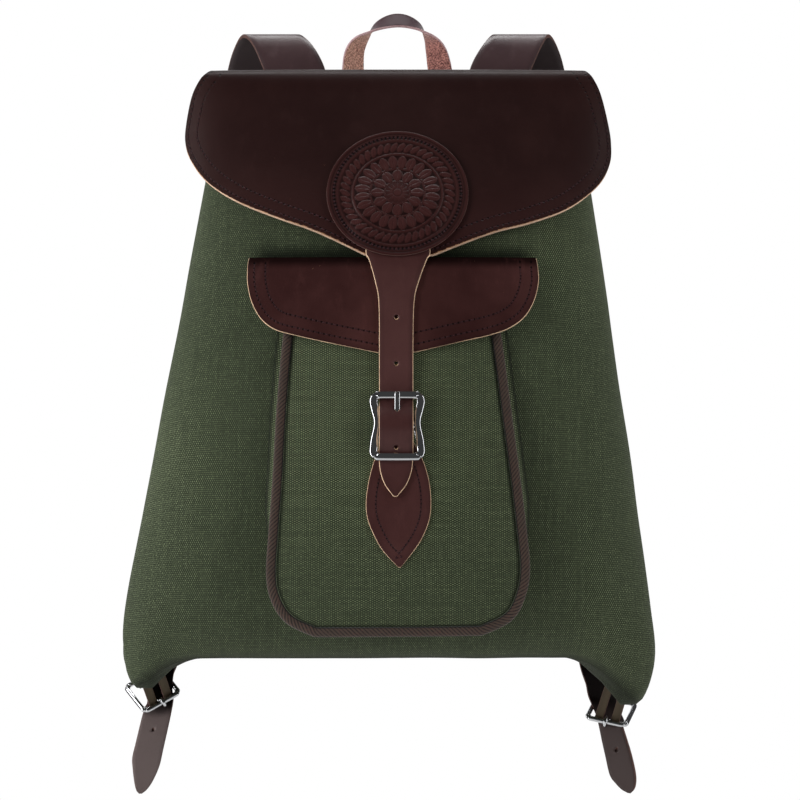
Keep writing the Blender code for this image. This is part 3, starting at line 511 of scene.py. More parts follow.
def makeThread():
    material = startMaterial("brownThread")
    twist = cloudy(placeOf(), 1300.0, 3.0, 0.7)
    colour = layered((24, 13, 15), (spread(twist, 0.3, 0.7), (70, 42, 47)))
    return finishMaterial(material, colour, 0.75, twist, 0.5, 0.0002, Specular_IOR_Level=0.2)


def makeSteel():
    material, place = startMaterial("brightSteel"), placeOf()
    haze = cloudy(place, 60.0, 4.0, 0.6)
    scratch = cloudy(stretched(place, (1, 1, 6)), 500.0, 3.0, 0.6)
    rough = spread(haze, 0.3, 0.75, 0.05, 0.09) + spread(scratch, 0.55, 0.75, 0.0, 0.12)
    colour = layered((214, 214, 216), (haze, (190, 192, 196)))
    return finishMaterial(material, colour, rough, scratch, 0.03, 0.0001, Metallic=1.0)


def makeStrapBack():
    # The straps' inner side is smoothed too: grey at the tails, with painted shade above them, near black where the bag
    # shades it, and darker on the right-hand strap
    material, place = startMaterial("strapBack"), placeOf()
    grain = placeGroup(grainGroup, Vector=place, Scale=1300.0)
    # painted shade by height: darker above the tails, near black in the band under the bag, with less shine there
    low, high = (aboveOf(place, height, 0.014) for height in (-0.537, -0.450))
    bagShadow = calc("SUBTRACT", low, high, clamp=True)
    colour = layered((88, 76, 75), (grain["Cloud"] * 0.6, (106, 94, 92)), (grain["Pores"] * 0.4, (58, 46, 46)),
                     # painted shade on the right-hand strap
                     (spread(axisOf(place, 0), 0.10, 0.15, 0.0, 0.80), (50, 37, 35)),
                     (low, (50, 41, 42)), (bagShadow, (13, 7, 6)))
    return finishMaterial(material, colour, scaled(grain["Cloud"], 0.12, 0.50), grain["Height"], 0.15, 0.0004,
                          Specular_IOR_Level=scaled(bagShadow, -0.28, 0.30))


oliveCanvas = makeCanvas()
lidLeather, patchLeather, medallionLeather, flapLeather, tabLeather, strapLeather, handleLeather, chapeLeather = (
    makeLeather(name) for name in ("lid", "patch", "medallion", "pocketFlap", "tab", "strap", "handle", "chape"))
strapBack = makeStrapBack()
fleshSide = makeSuede()
darkFleshSide = makeDarkSuede()
tanEdge = makeCutEdge("tanCutEdge", (196, 152, 116), (246, 220, 188))
# painted shade on the lid's cut edge above this height
lidEdge = makeCutEdge("lidCutEdge", (186, 140, 112), (244, 216, 190), -0.104)
darkEdge = makeCutEdge("darkCutEdge", (58, 40, 38), (104, 74, 66))
handleEdge = makeCutEdge("handleCutEdge", (158, 118, 120), (222, 190, 192))
brownTwill = makeTwill()
brownThread = makeThread()
brightSteel = makeSteel()
print("materials are ready")

# Shapes: tables are the same as the solid model's, in metres

thick = {"canvas": 0.002, "lid": 0.003, "flap": 0.0025, "strap": 0.0028, "shoulder": 0.003, "tab": 0.002,
         "gap": 0.0004}

bag = {
    "levels": (
        # height, x of the middle, half width, front, back
        (-0.046, 0.0008, 0.1362, -0.0770, -0.0140), (-0.058, 0.0007, 0.1381, -0.0846, -0.0078),
        (-0.080, 0.0005, 0.1416, -0.0950, -0.0060), (-0.120, 0.0000, 0.1480, -0.1125, -0.0045),
        (-0.160, -0.0006, 0.1544, -0.1300, -0.0030), (-0.190, -0.0011, 0.1592, -0.1415, -0.0022),
        (-0.230, -0.0018, 0.1656, -0.1490, -0.0015), (-0.290, -0.0036, 0.1755, -0.1545, -0.0010),
        (-0.350, -0.0049, 0.1856, -0.1575, -0.0010), (-0.400, -0.0064, 0.1938, -0.1580, -0.0018),
        (-0.440, -0.0069, 0.2019, -0.1545, -0.0040), (-0.462, -0.0067, 0.2052, -0.1480, -0.0070),
        (-0.476, -0.0075, 0.2026, -0.1400, -0.0110), (-0.487, -0.0084, 0.1976, -0.1280, -0.0180),
        (-0.4913, -0.0086, 0.1929, -0.1150, -0.0280),
    ),
    "widestShare": 0.38, "frontPower": 3.0, "backPower": 5.0,
    "corners": {-1: (0.0268, 0.150, 0.040, 1.8), 1: (0.0398, 0.128, 0.0435, 1.5)},   # drop, start, slope, curve
    "cornerTop": -0.395, "cornerY": -0.060, "cornerSpread": 0.050,
    "columns": 232, "step": 0.0045,
    "sag": 0.0011, "tautAbove": (-0.185, 0.06),          # how deep the cloth's soft hollows are, and where they begin
    "creases": 0.0009, "creaseFrom": (0.196, -0.060, -0.505),   # and the creases that run up from a bottom corner
    "pocketHalf": 0.094, "pocketBase": -0.478,           # the front is smooth between these, behind the pocket
    "dent": 0.0030,                    # how far the cloth is pressed in above the pocket's flap
    "shade": 0.90,                     # and how much painted shade lies in that dent
    "baseShade": 0.75,                 # how much painted shade the cloth gets where it turns under the base
    "baseTurn": -0.4862, "baseRings": (0.94, 0.86, 0.76, 0.64, 0.50, 0.34, 0.18, 0.06),
    "dentLine": (-0.003, -0.1865, 0.110, 0.016),   # x of its middle, height, half length, how it fades at its ends
    # patches of painted light: x, height, reach, share
    "paintedLight": ((0.130, -0.180, 0.060, 0.40), (-0.180, -0.340, 0.050, 0.42), (0.155, -0.330, 0.090, 0.20),
              (0.140, -0.450, 0.060, 0.18), (-0.180, -0.420, 0.045, 0.10), (-0.170, -0.500, 0.040, 0.14),
              (0.170, -0.500, 0.045, 0.20)),
}
mouthZ, baseZ = bag["levels"][0][0], bag["levels"][-1][0]
trees = {}                             # surfaces by name, to lay stitches on


def levelRow(rows, height):
    last = len(rows) - 1
    start = 0
    while start < last - 1 and height < rows[start + 1][0]:
        start += 1
    above, below = rows[start], rows[start + 1]
    step = below[0] - above[0]
    t = (height - above[0]) / step
    before, after = rows[max(start - 1, 0)], rows[min(start + 2, last)]
    found = [height]
    for column in range(1, len(above)):
        slopeAbove = (below[column] - before[column]) / (below[0] - before[0])
        slopeBelow = (after[column] - above[column]) / (after[0] - above[0])
        found.append((2 * t ** 3 - 3 * t ** 2 + 1) * above[column] + (t ** 3 - 2 * t ** 2 + t) * step * slopeAbove
                     + (3 * t ** 2 - 2 * t ** 3) * below[column] + (t ** 3 - t ** 2) * step * slopeBelow)
    return found


def refine(grid, step, closed=False):
    # Adds rows on a smooth curve through the grid's rows, about one step apart
    grid = np.asarray(grid, float)
    ends = np.concatenate([grid[-1:], grid, grid[:2]] if closed else [grid[:1], grid, grid[-1:]])
    found = []
    for index in range(len(ends) - 3):
        a, b, c, d = ends[index:index + 4]
        count = max(1, math.ceil(np.linalg.norm((c - b).reshape(-1, c.shape[-1])[:, :3], axis=1).max() / step))
        for part in range(count):
            t = part / count
            found.append(0.5 * (2 * b + (c - a) * t + (2 * a - 5 * b + 4 * c - d) * t ** 2
                                + (3 * b - a - 3 * c + d) * t ** 3))
    return np.array(found if closed else found + [grid[-1]])


def refineBoth(grid, step):
    tall = refine(grid, step)
    return np.swapaxes(refine(np.swapaxes(tall, 0, 1), step), 0, 1)


def refineLine(path, step, closed=False):
    return refine(np.array([tuple(point) for point in path])[:, None, :], step, closed)[:, 0, :]


def lengthsAlong(path):
    return np.concatenate([[0], np.cumsum(np.linalg.norm(np.diff(path, axis=0), axis=1))])


def densePath(path, closed):
    # The path as close points, and how far along it each one lies
    dense = refineLine([*path, path[0]] if closed else path, 0.0008)
    return dense, lengthsAlong(dense)


def bulge(share, power):
    return max(0.0, 1.0 - abs(share) ** power) ** (1.0 / power)


def smoothStep(value):
    value = min(max(value, 0.0), 1.0)
    return value * value * (3.0 - 2.0 * value)


def bagSection(height):
    middle, half, front, back = levelRow(bag["levels"], height)[1:]
    return middle, half, front, back, back + bag["widestShare"] * (front - back)


def bagFront(x, height):
    middle, half, front, back, widest = bagSection(height)
    return widest + (front - widest) * bulge((x - middle) / half, bag["frontPower"])


def cornerDrop(x, y, height):
    drop, start, slope, curve = bag["corners"][-1 if x < 0 else 1]
    sideways = min(max((abs(x) - start) / slope, 0.0), 1.0) ** curve
    depthways = math.exp(-((y - bag["cornerY"]) / bag["cornerSpread"]) ** 2)
    return drop * sideways * depthways * smoothStep((bag["cornerTop"] - height) / (bag["cornerTop"] - baseZ))


def bagRing(height, count, scale=1.0):
    # Points at equal steps round the bag, from the middle of the back by the left side
    middle, half, front, back, widest = bagSection(height)
    angle = np.linspace(-math.pi, math.pi, 1441)
    forward = np.cos(angle) > 0
    power = np.where(forward, bag["frontPower"], bag["backPower"])
    x = middle + half * np.sign(np.sin(angle)) * np.abs(np.sin(angle)) ** (2 / power) * scale
    y = widest + np.abs(np.cos(angle)) ** (2 / power) * (np.where(forward, front, back) - widest) * scale
    lengths = np.concatenate([[0], np.cumsum(np.hypot(np.diff(x), np.diff(y)))])
    wanted = np.linspace(0, lengths[-1], count + 1)
    ringX, ringY = np.interp(wanted, lengths, x), np.interp(wanted, lengths, y)
    points = [(a, b, height - cornerDrop(a, b, height)) for a, b in zip(ringX, ringY)]
    return np.array(points), wanted - lengths[-1] / 2


def surfaceOf(points, faces):
    return BVHTree.FromPolygons([tuple(point) for point in points], [tuple(face) for face in faces])


def buildMesh(name, points, faces, materials, faceMaterials=None, uvs=None, faceUvs=None, attributes=None):
    # Uvs are for each point, and faceUvs for each corner of each face, in mm of the flat piece
    mesh = bpy.data.meshes.new(name)
    mesh.from_pydata([tuple(point) for point in points], [], [tuple(face) for face in faces])
    for material in materials:
        mesh.materials.append(material)
    if faceMaterials is not None:
        mesh.polygons.foreach_set("material_index", np.asarray(faceMaterials, np.int32))
    layer = mesh.uv_layers.new(name="WeaveMap")
    if faceUvs is None:
        uvs = np.asarray(uvs if uvs is not None else np.asarray(points)[:, [0, 2]] * 1000, np.float32)
        corners = np.empty(len(mesh.loops), np.int32)
        mesh.loops.foreach_get("vertex_index", corners)
        faceUvs = uvs[corners]
    layer.data.foreach_set("uv", np.asarray(faceUvs, np.float32).ravel())
    for label, values in (attributes or {}).items():
        mesh.attributes.new(label, "FLOAT", "POINT").data.foreach_set("value", np.asarray(values, np.float32))
    mesh.update()
    mesh.shade_smooth()
    return addObject(name, mesh)


def vertexNormals(points, faces):
    # Area-weighted normals of a mesh of quads and triangles
    normals = np.zeros_like(points)
    for size in (3, 4):
        picked = np.array([face for face in faces if len(face) == size])
        if not len(picked):
            continue
        corners = [points[picked[:, corner]] for corner in range(size)]
        first, second = corners[-2] - corners[0], corners[-1] - corners[size - 3]
        across = np.cross(first, second)
        for corner in range(size):
            np.add.at(normals, picked[:, corner], across)
    return normals / np.maximum(np.linalg.norm(normals, axis=1, keepdims=True), 1e-12)


def edgeFacts(points, path, closed):
    # For each point, how far along the edge path its nearest place is and how far off, both in mm
    dense, along = densePath(path, closed)
    tree = KDTree(len(dense))
    for index, point in enumerate(dense):
        tree.insert(point, index)
    tree.balance()
    found = [tree.find(point) for point in points]
    return [along[hit[1]] * 1000 for hit in found], [hit[2] * 1000 for hit in found]


def slab(name, points, faces, thickness, materials, uvs, path, outer=0.0, rounding=0.15, closed=False, extra=None):
    # A sheet of leather with its own thickness and a rounded cut edge. Outer is how far the given
    # surface lies from the finished face, as a share of the thickness: 0 is the face, 0.5 the middle.
    points = np.asarray(points, float)
    normals = vertexNormals(points, faces)
    face = points + normals * thickness * outer
    back = face - normals * thickness
    trees[name], trees[name + "Back"] = surfaceOf(face, faces), surfaceOf(back, [loop[::-1] for loop in faces])
    edges = {(a, b): True for loop in faces for a, b in zip(loop, loop[1:] + loop[:1])}
    border = [(a, b) for a, b in edges if (b, a) not in edges]
    outwards = {}
    for a, b in border:
        side = np.cross(points[b] - points[a], normals[a] + normals[b])
        side /= max(np.linalg.norm(side), 1e-12)
        for vertex in (a, b):
            outwards[vertex] = outwards.get(vertex, 0) + side
    room = {vertex: thickness * rounding for vertex in outwards}
    for a, b in edges:
        if a in room and b not in outwards:
            room[a] = min(room[a], 0.45 * np.linalg.norm(points[a] - points[b]))
    order, count, segments = list(outwards), len(points), 5
    for vertex in order:
        outwards[vertex] = away = outwards[vertex] / max(np.linalg.norm(outwards[vertex]), 1e-12)
        face[vertex] -= away * room[vertex]
        back[vertex] -= away * room[vertex]
    allPoints, rings, total = [face, back], [{vertex: vertex for vertex in order}], 2 * count
    for step in range(1, segments):
        angle = math.pi * step / segments
        allPoints.append(np.array([face[vertex] - normals[vertex] * thickness * (1 - math.cos(angle)) / 2
                                   + outwards[vertex] * (room[vertex] * math.sin(angle)) for vertex in order]))
        rings.append({vertex: total + place for place, vertex in enumerate(order)})
        total += len(order)
    rings.append({vertex: vertex + count for vertex in order})
    allFaces = faces + [[corner + count for corner in reversed(loop)] for loop in faces]
    kinds = [0] * len(faces) + [2] * len(faces)
    for near, far in zip(rings, rings[1:]):
        allFaces += [(near[b], near[a], far[a], far[b]) for a, b in border]
        kinds += [1] * len(border)

    def everywhere(values):
        # The same values again for the back and for the rings of the cut edge
        values = np.asarray(values)
        return np.concatenate([values, values] + [values[order]] * (segments - 1))

    along, distance = edgeFacts(points, path, closed)
    facts = {**(extra or {}), "edgeAlong": along, "edgeDistance": distance}
    return buildMesh(name, np.concatenate(allPoints), allFaces, materials, kinds, everywhere(uvs),
                     attributes={label: everywhere(values) for label, values in facts.items()})


def gridFaces(rows, columns, flip=False, openCells=()):
    faces = []
    for row in range(rows - 1):
        for column in range(columns - 1):
            if (row, column) in openCells:
                continue
            first = row * columns + column
            loop = [first, first + columns, first + columns + 1, first + 1]
            faces.append(loop[::-1] if flip else loop)
    return faces


def gridUvs(grid):
    # Flat sizes in mm: down the middle column, and out from it along each row
    middle = grid.shape[1] // 2
    across = np.array([lengthsAlong(row) for row in grid])
    down = np.repeat(lengthsAlong(grid[:, middle])[:, None], grid.shape[1], axis=1)
    return np.stack([across - across[:, middle:middle + 1], down], axis=2).reshape(-1, 2) * 1000


def edgePath(grid):
    # Down the left side, along the bottom and up the right side
    return np.concatenate([grid[:, 0], grid[-1, 1:-1], grid[::-1, -1]])


def gridSlab(name, grid, thickness, materials, outer=0.0, flip=False, rounding=0.15, path=None):
    return slab(name, grid.reshape(-1, 3), gridFaces(*grid.shape[:2], flip), thickness, materials, gridUvs(grid),
                edgePath(grid) if path is None else path, outer, rounding)


def slantRow(row, shares):
    # Places from a row's left edge, given by its x and height, to its right one
    left, leftZ, right, rightZ = row
    return [(left + (right - left) * share, leftZ + (rightZ - leftZ) * share) for share in shares]


def dress(piece, slot, *nodes):
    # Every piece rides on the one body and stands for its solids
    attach(piece, "root")
    if nodes:
        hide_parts(*nodes)
    return piece


def addWall(piece, even=False):
    # Gives a sheet of canvas its thickness, inwards
    wall = piece.modifiers.new("wall", "SOLIDIFY")
    wall.thickness, wall.offset, wall.use_quality_normals = thick["canvas"], -1.0, even


def tubePiece(name, path, radii, sides, material, across, closed=False, taper=None):
    # A tube of oval section. Across is the way of its first radius, all along it or at each place.
    path = np.asarray(path, float)
    count = len(path)
    forward = np.roll(path, -1, axis=0) - np.roll(path, 1, axis=0) if closed else np.gradient(path, axis=0)
    forward /= np.linalg.norm(forward, axis=1, keepdims=True)
    across = np.broadcast_to(np.array(across, float), path.shape)
    taper = np.ones(count) if taper is None else taper
    lengths, girth = lengthsAlong(path) * 1000, math.pi * (radii[0] + radii[1]) * 1000
    points, uvs, faces = [], [], []
    for index in range(count):
        first = across[index] - forward[index] * across[index].dot(forward[index])
        first /= np.linalg.norm(first)
        second = np.cross(forward[index], first)
        for side in range(sides):
            angle = 2 * math.pi * side / sides
            points.append(path[index] + first * radii[0] * taper[index] * math.cos(angle)
                          + second * radii[1] * taper[index] * math.sin(angle))
    for index in range(count if closed else count - 1):
        here, there = index * sides, (index + 1) % count * sides
        near, far = lengths[index], lengths[index + 1] if index + 1 < count else lengths[-1] + 1
        for side in range(sides):
            beside = (side + 1) % sides
            faces.append((here + side, here + beside, there + beside, there + side))
            uvs += [(place, corner / sides * girth)
                    for corner, place in ((side, near), (side + 1, near), (side + 1, far), (side, far))]
    if not closed:
        faces += [tuple(reversed(range(sides))), tuple(range((count - 1) * sides, count * sides))]
        uvs += [(0, 0)] * (2 * sides)
    return buildMesh(name, points, faces, [material], faceUvs=uvs)


stitch = {
    "radius": 0.00038, "sides": 6,
    "arch": ((0.12, -0.9), (0.26, 0.0), (0.5, 0.35), (0.74, 0.0), (0.88, -0.9)),   # share of the pitch, height in radii
    "sunkSize": 0.75,                  # how thin the thread is pulled where it goes into the leather
}


def sewRow(name, path, sheet, inset, pitch, slot, radius=stitch["radius"], closed=False, start=0.0, margin=0.0):
    # Stitches along a path and that far in from it, each an arch of thread between two needle holes
    dense, along = densePath(path, closed)
    tree, sides, rings = trees[sheet], stitch["sides"], len(stitch["arch"])
    stop = lengthsAlong(path)[-1] - margin if margin else along[-1]

    def spot(distance):
        index = max(min(np.searchsorted(along, distance), len(dense) - 2), 1)
        point = Vector([np.interp(distance, along, dense[:, axis]) for axis in range(3)])
        forward = Vector(dense[min(index + 3, len(dense) - 1)] - dense[max(index - 3, 0)]).normalized()
        inward = tree.find_nearest(point)[1].cross(forward).normalized()
        return tree.find_nearest(point + inward * inset)[:2]

    points, faces = [], []
    place = math.ceil(max(start, margin) / pitch) * pitch
    while place + pitch <= stop + 1e-6:
        (firstPoint, firstNormal), (lastPoint, lastNormal) = spot(place), spot(place + pitch)
        forward = lastPoint - firstPoint
        place += pitch
        if forward.length <= pitch * 0.3:
            continue
        normal = (firstNormal + lastNormal).normalized()
        side = normal.cross(forward).normalized()
        base = len(points)
        for share, height in stitch["arch"]:
            centre = firstPoint.lerp(lastPoint, share) + normal * (radius * height)
            size = radius * (stitch["sunkSize"] if height < 0 else 1.0)
            for turn in range(sides):
                angle = 2 * math.pi * turn / sides
                points.append(centre + side * size * math.cos(angle) + normal * size * math.sin(angle))
        for here in range(base, base + (rings - 1) * sides, sides):
            for turn in range(sides):
                beside = (turn + 1) % sides
                faces.append((here + turn, here + sides + turn, here + sides + beside, here + beside))
        faces += [tuple(base + turn for turn in range(sides)),
                  tuple(base + (rings - 1) * sides + turn for turn in reversed(range(sides)))]
    return dress(buildMesh(name, points, faces, [brownThread]), slot)


def punchHoles(piece, holes, material):
    # Round holes through a piece: place, direction, radius, depth
    sides = 20
    for place, direction, radius, depth in holes:
        turn = Vector((0, 0, 1)).rotation_difference(Vector(direction))
        angles = [2 * math.pi * step / sides for step in range(sides)]
        points = [Vector(place) + turn @ Vector((radius * math.cos(angle), radius * math.sin(angle), level * depth))
                  for level in (-0.5, 0.5) for angle in angles]
        faces = [(step, (step + 1) % sides, sides + (step + 1) % sides, sides + step) for step in range(sides)]
        faces += [tuple(reversed(range(sides))), tuple(range(sides, 2 * sides))]
        cutter = buildMesh("cutter", points, faces, [material])
        modifier = piece.modifiers.new("hole", "BOOLEAN")
        modifier.operation, modifier.solver, modifier.material_mode = "DIFFERENCE", "EXACT", "TRANSFER"
        modifier.object = cutter
        bpy.context.view_layer.update()
        mesh = bpy.data.meshes.new_from_object(piece.evaluated_get(bpy.context.evaluated_depsgraph_get()))
        piece.modifiers.clear()
        old, piece.data = piece.data, mesh
        bpy.data.meshes.remove(old)
        bpy.data.objects.remove(cutter, do_unlink=True)


backSeams = {"pitch": 0.0040, "low": -0.0915, "high": -0.0660, "strapMiddle": 0.0712, "strapHalf": 0.0185,
             "handleHalf": 0.0066, "lidInsets": (0.0036, 0.0106)}


def sewnBox(name, middle, half, sheet):
    # A box of stitches where the end of a strap is sewn down, seen from the back
    low, high = backSeams["low"], backSeams["high"]
    corners = [(middle - half, 0, high), (middle - half, 0, low), (middle + half, 0, low), (middle + half, 0, high)]
    path = []
    for start, end in zip(corners, corners[1:] + corners[:1]):
        path += [np.array(start) + (np.array(end) - start) * part / 8 for part in range(8)]
    sewRow(name, path, sheet, 0.0, backSeams["pitch"], "strap_leather", closed=True)


# Canvas bag


def paintedLightAt(spots, x, z):
    # How much painted light the cloth gets near each of a few places: x, height, reach, share
    return sum(share * math.exp(-((x - spotX) ** 2 + (z - spotZ) ** 2) / reach ** 2)
               for spotX, spotZ, reach, share in spots)


def dentAt(x, z, front, spreadDown):
    # How near a place is to the line where the pocket's flap presses the cloth in
    middle, height, half, fade = bag["dentLine"]
    if not front:
        return 0.0
    return math.exp(-((z - height) / spreadDown) ** 2) * smoothStep((half - abs(x - middle)) / fade)


def clothRelief(x, y, z, front):
    # Soft hollows over the hanging cloth, and creases that fan out of the pulled corners
    spot = Vector((x * 11, y * 11, z * 7))
    soft = noise.noise(spot) + 0.45 * noise.noise(spot * 2.3 + Vector((7, 3, 1)))
    covered = smoothStep((abs(x + 0.002) - bag["pocketHalf"]) / 0.028) if front else 1.0
    if front and z < bag["pocketBase"]:
        covered = max(covered, smoothStep((bag["pocketBase"] - z) / 0.008))
    taut, fade = bag["tautAbove"]
    amount = bag["sag"] * soft * covered * smoothStep((taut - z) / fade)
    side, (cornerX, cornerY, cornerZ) = -1 if x < 0 else 1, bag["creaseFrom"]
    away = Vector((x, y, z)) - Vector((side * cornerX, cornerY, cornerZ))
    reach = away.length
    turn = math.atan2(away.z, -side * away.x + 0.35 * abs(away.y))
    fan = math.sin(turn * 9.0 + side * 0.8) * math.exp(-reach / 0.075) * smoothStep((reach - 0.01) / 0.03)
    return amount + bag["creases"] * fan * covered - bag["dent"] * dentAt(x, z, front, 0.0065)


def makeCanvasBag():
    heights, columns = [row[0] for row in bag["levels"]], bag["columns"]
    fine = [heights[0]]
    for above, below in zip(heights, heights[1:]):
        count = max(1, math.ceil((above - below) / bag["step"]))
        fine += [above + (below - above) * (part + 1) / count for part in range(count)]
    found = [bagRing(height, columns) for height in fine]
    found += [bagRing(baseZ, columns, scale) for scale in bag["baseRings"]]
    sides, rows = len(fine), len(found)
    rings, reaches = (np.array(part) for part in zip(*found))
    down = np.zeros((rows, columns + 1))
    down[1:] = np.cumsum(np.linalg.norm(np.diff(rings, axis=0), axis=2), axis=0)
    around, flat = np.stack([reaches, down], axis=2) * 1000, rings[:, :, :2] * 1000
    faces, uvs = [], []
    for row in range(rows - 1):
        yarns = flat if row >= sides - 1 else around
        for column in range(columns):
            here, beside = row * columns, (column + 1) % columns
            faces.append((here + column, here + columns + column, here + columns + beside, here + beside))
            uvs += [yarns[row, column], yarns[row + 1, column], yarns[row + 1, column + 1], yarns[row, column + 1]]
    points = rings[:, :-1].reshape(-1, 3)
    normals = vertexNormals(points, faces)
    faces.append(tuple((rows - 1) * columns + column for column in range(columns)))
    uvs += list(flat[-1, :-1])
    under = np.repeat([smoothStep((bag["baseTurn"] - height) / 0.0050) for height in fine + [baseZ] * (rows - sides)],
                      columns)
    # painted shade in the dent above the pocket's flap and where the cloth turns under the base, painted light in a few
    # patches
    moved, paintedShade, paintedLight = points.copy(), [], []
    for index, ((x, y, z), normal, low) in enumerate(zip(points, normals, under)):
        front = normal[1] < -0.35
        moved[index] += normal * clothRelief(x, y, z, front)
        paintedShade.append(max(bag["shade"] * dentAt(x, z, front, 0.0066), bag["baseShade"] * low))
        paintedLight.append(paintedLightAt(bag["paintedLight"], x, z) if normal[1] < 0.2 else 0.0)
    piece = buildMesh("canvasBag", moved, faces, [oliveCanvas], faceUvs=uvs,
                      attributes={"paintedShade": paintedShade, "paintedLight": paintedLight})
    addWall(piece, even=True)
    dress(piece, "canvas", "canvas_bag")


makeCanvasBag()
print("canvas bag is ready")

# Lid

lid = {
    "topRows": (
        # height, y, half width
        (-0.1050, -0.0014, 0.1260), (-0.0960, -0.0016, 0.1330), (-0.0760, -0.0026, 0.1385),
        (-0.0570, -0.0036, 0.1405), (-0.0470, -0.0066, 0.1412), (-0.0415, -0.0140, 0.1418),
        (-0.0400, -0.0400, 0.1424), (-0.0403, -0.0680, 0.1438), (-0.0425, -0.0790, 0.1475),
    ),
    "frontRows": (
        # left edge x, its height, right edge x, its height
        (-0.1528, -0.0480, 0.1518, -0.0480), (-0.1590, -0.0610, 0.1572, -0.0600),
        (-0.1630, -0.0820, 0.1622, -0.0810), (-0.1635, -0.0975, 0.1646, -0.0980),
        (-0.1585, -0.1125, 0.1630, -0.1150), (-0.1450, -0.1298, 0.1530, -0.1325),
        (-0.1230, -0.1444, 0.1300, -0.1502), (-0.0940, -0.1567, 0.1010, -0.1615),
        (-0.0610, -0.1688, 0.0700, -0.1700), (-0.0238, -0.1866, 0.0254, -0.1872),
    ),
    "fold": (-0.0457, -0.0839), "slope": 0.477, "spread": 0.030, "power": 2.8, "leastHalf": 0.146,
    "columns": 29, "step": 0.0022,
    "stitchPitch": 0.0043, "stitchRows": (0.0039, 0.0124), "rowStart": 0.152,
}


def lidBend(x, height, centre):
    middle, half, front, back, widest = bagSection(min(height, mouthZ))
    if centre > widest:
        return centre
    reach = max(half, lid["leastHalf"]) + lid["spread"]
    return widest + (centre - widest) * bulge((x - middle) / reach, lid["power"])


def lidFront(x, height):
    return lidBend(x, height, lid["fold"][1] + lid["slope"] * (height - lid["fold"][0]))


def makeLid():
    shares = np.linspace(-1, 1, lid["columns"])
    grid = [[(half * share, lidBend(half * share, height, y), height) for share in shares]
            for height, y, half in lid["topRows"]]
    for row in lid["frontRows"]:
        grid.append([(x, lidFront(x, height), height) for x, height in slantRow(row, (shares + 1) / 2)])
    fine = refineBoth(grid, lid["step"])
    piece = gridSlab("lidFlap", fine, thick["lid"], [lidLeather, lidEdge, darkFleshSide])
    dress(piece, "lid_leather", "lid_flap")
    for order, inset in enumerate(lid["stitchRows"]):
        sewRow(f"lidStitches{order}", edgePath(fine), "lidFlap", inset, lid["stitchPitch"], "lid_leather",
               margin=lid["rowStart"])
    for order, inset in enumerate(backSeams["lidInsets"]):
        sewRow(f"lidBackStitches{order}", fine[0, ::-1], "lidFlap", inset, lid["stitchPitch"], "lid_leather",
               start=0.004)


makeLid()
print("lid is ready")

# Medallion, with a plain traditional tooled rosette

medallion = {
    "z": -0.1399, "radius": 0.0532, "rings": 96, "columns": 384,
    "strapEnd": -0.147, "strapRise": 0.030, "strapHalf": 0.040, "strapFade": 0.016,
    "relief": 0.00036,               # depth of the tooling
    "ridges": (
        # place, rise and width in mm from the middle; the rise is a share of the relief
        (52.3, 1.0, 0.9), (50.6, -0.7, 0.7), (45.2, 0.9, 0.7), (44.2, -0.6, 0.7), (34.4, -0.6, 0.7),
        (33.4, 1.0, 0.7), (32.3, -0.7, 0.7), (20.6, 0.8, 0.7), (9.4, 0.8, 0.7), (3.2, -0.7, 0.7),
    ),
    "leafRings": (
        # inner and outer radius, middle, half length, leaves, their turn and slant, and width
        (35.2, 43.4, 39.3, 4.1, 46, 0.0, 0.09, 0.86), (21.4, 31.6, 26.0, 6.0, 24, 0.5, 0.0, 0.95),
        (10.2, 20.0, 14.6, 5.6, 12, 0.0, 0.0, 0.90),
    ),
    "heart": {"radius": 8.8, "rise": 0.9, "plain": 3.9, "beads": 14},
    "stitchInset": 0.0054, "stitchPitch": 0.00346, "threadRadius": 0.00042,
}


def medallionMiddle(x, height):
    lift = (thick["strap"] + thick["gap"]) * smoothStep((medallion["strapEnd"] + medallion["strapRise"] - height)
                                                        / medallion["strapRise"])
    lift *= smoothStep((medallion["strapHalf"] - abs(x)) / medallion["strapFade"])
    return lidFront(x, height) - (thick["gap"] + thick["flap"] / 2 + lift) * math.hypot(1.0, lid["slope"])


def ridgeAt(value, place, width):
    return max(0.0, 1.0 - abs(value - place) / width)


def leafAt(turn, middle, wide):
    # One pointed leaf of a ring of them: its rounded back and the line down its middle
    part = abs(turn - round(turn)) * 2
    width = wide * max(1 - middle * middle, 0.0)
    if part >= width:
        return -0.55
    return 0.25 + 0.65 * (1 - (part / width) ** 2) ** 0.5 - (0.5 if part < 0.12 * wide else 0.0)


def rosette(radius, angle):
    # Tooled relief at a place on the patch, in shares of its depth; radius in mm
    share = angle / (2 * math.pi)
    height = sum(rise * ridgeAt(radius, place, width) for place, rise, width in medallion["ridges"])
    for inner, outer, middle, half, count, shift, slant, wide in medallion["leafRings"]:
        if inner < radius < outer:
            height += leafAt(share * count + shift + (radius - middle) * slant, (radius - middle) / half, wide)
    heart = medallion["heart"]
    if radius < heart["radius"]:
        height += heart["rise"] * (1 - (radius / heart["radius"]) ** 2) ** 0.5
        if radius > heart["plain"]:
            turn = share * heart["beads"]
            height -= 0.8 * ridgeAt(abs(turn - round(turn)) * 2, 1.0, 0.4)
    if 9.8 < radius < 43.8:                       # the tool's uneven pressure
        height -= 0.25 * noise.noise(Vector((math.cos(angle) * radius * 1.1, math.sin(angle) * radius * 1.1, 4)))
    return height


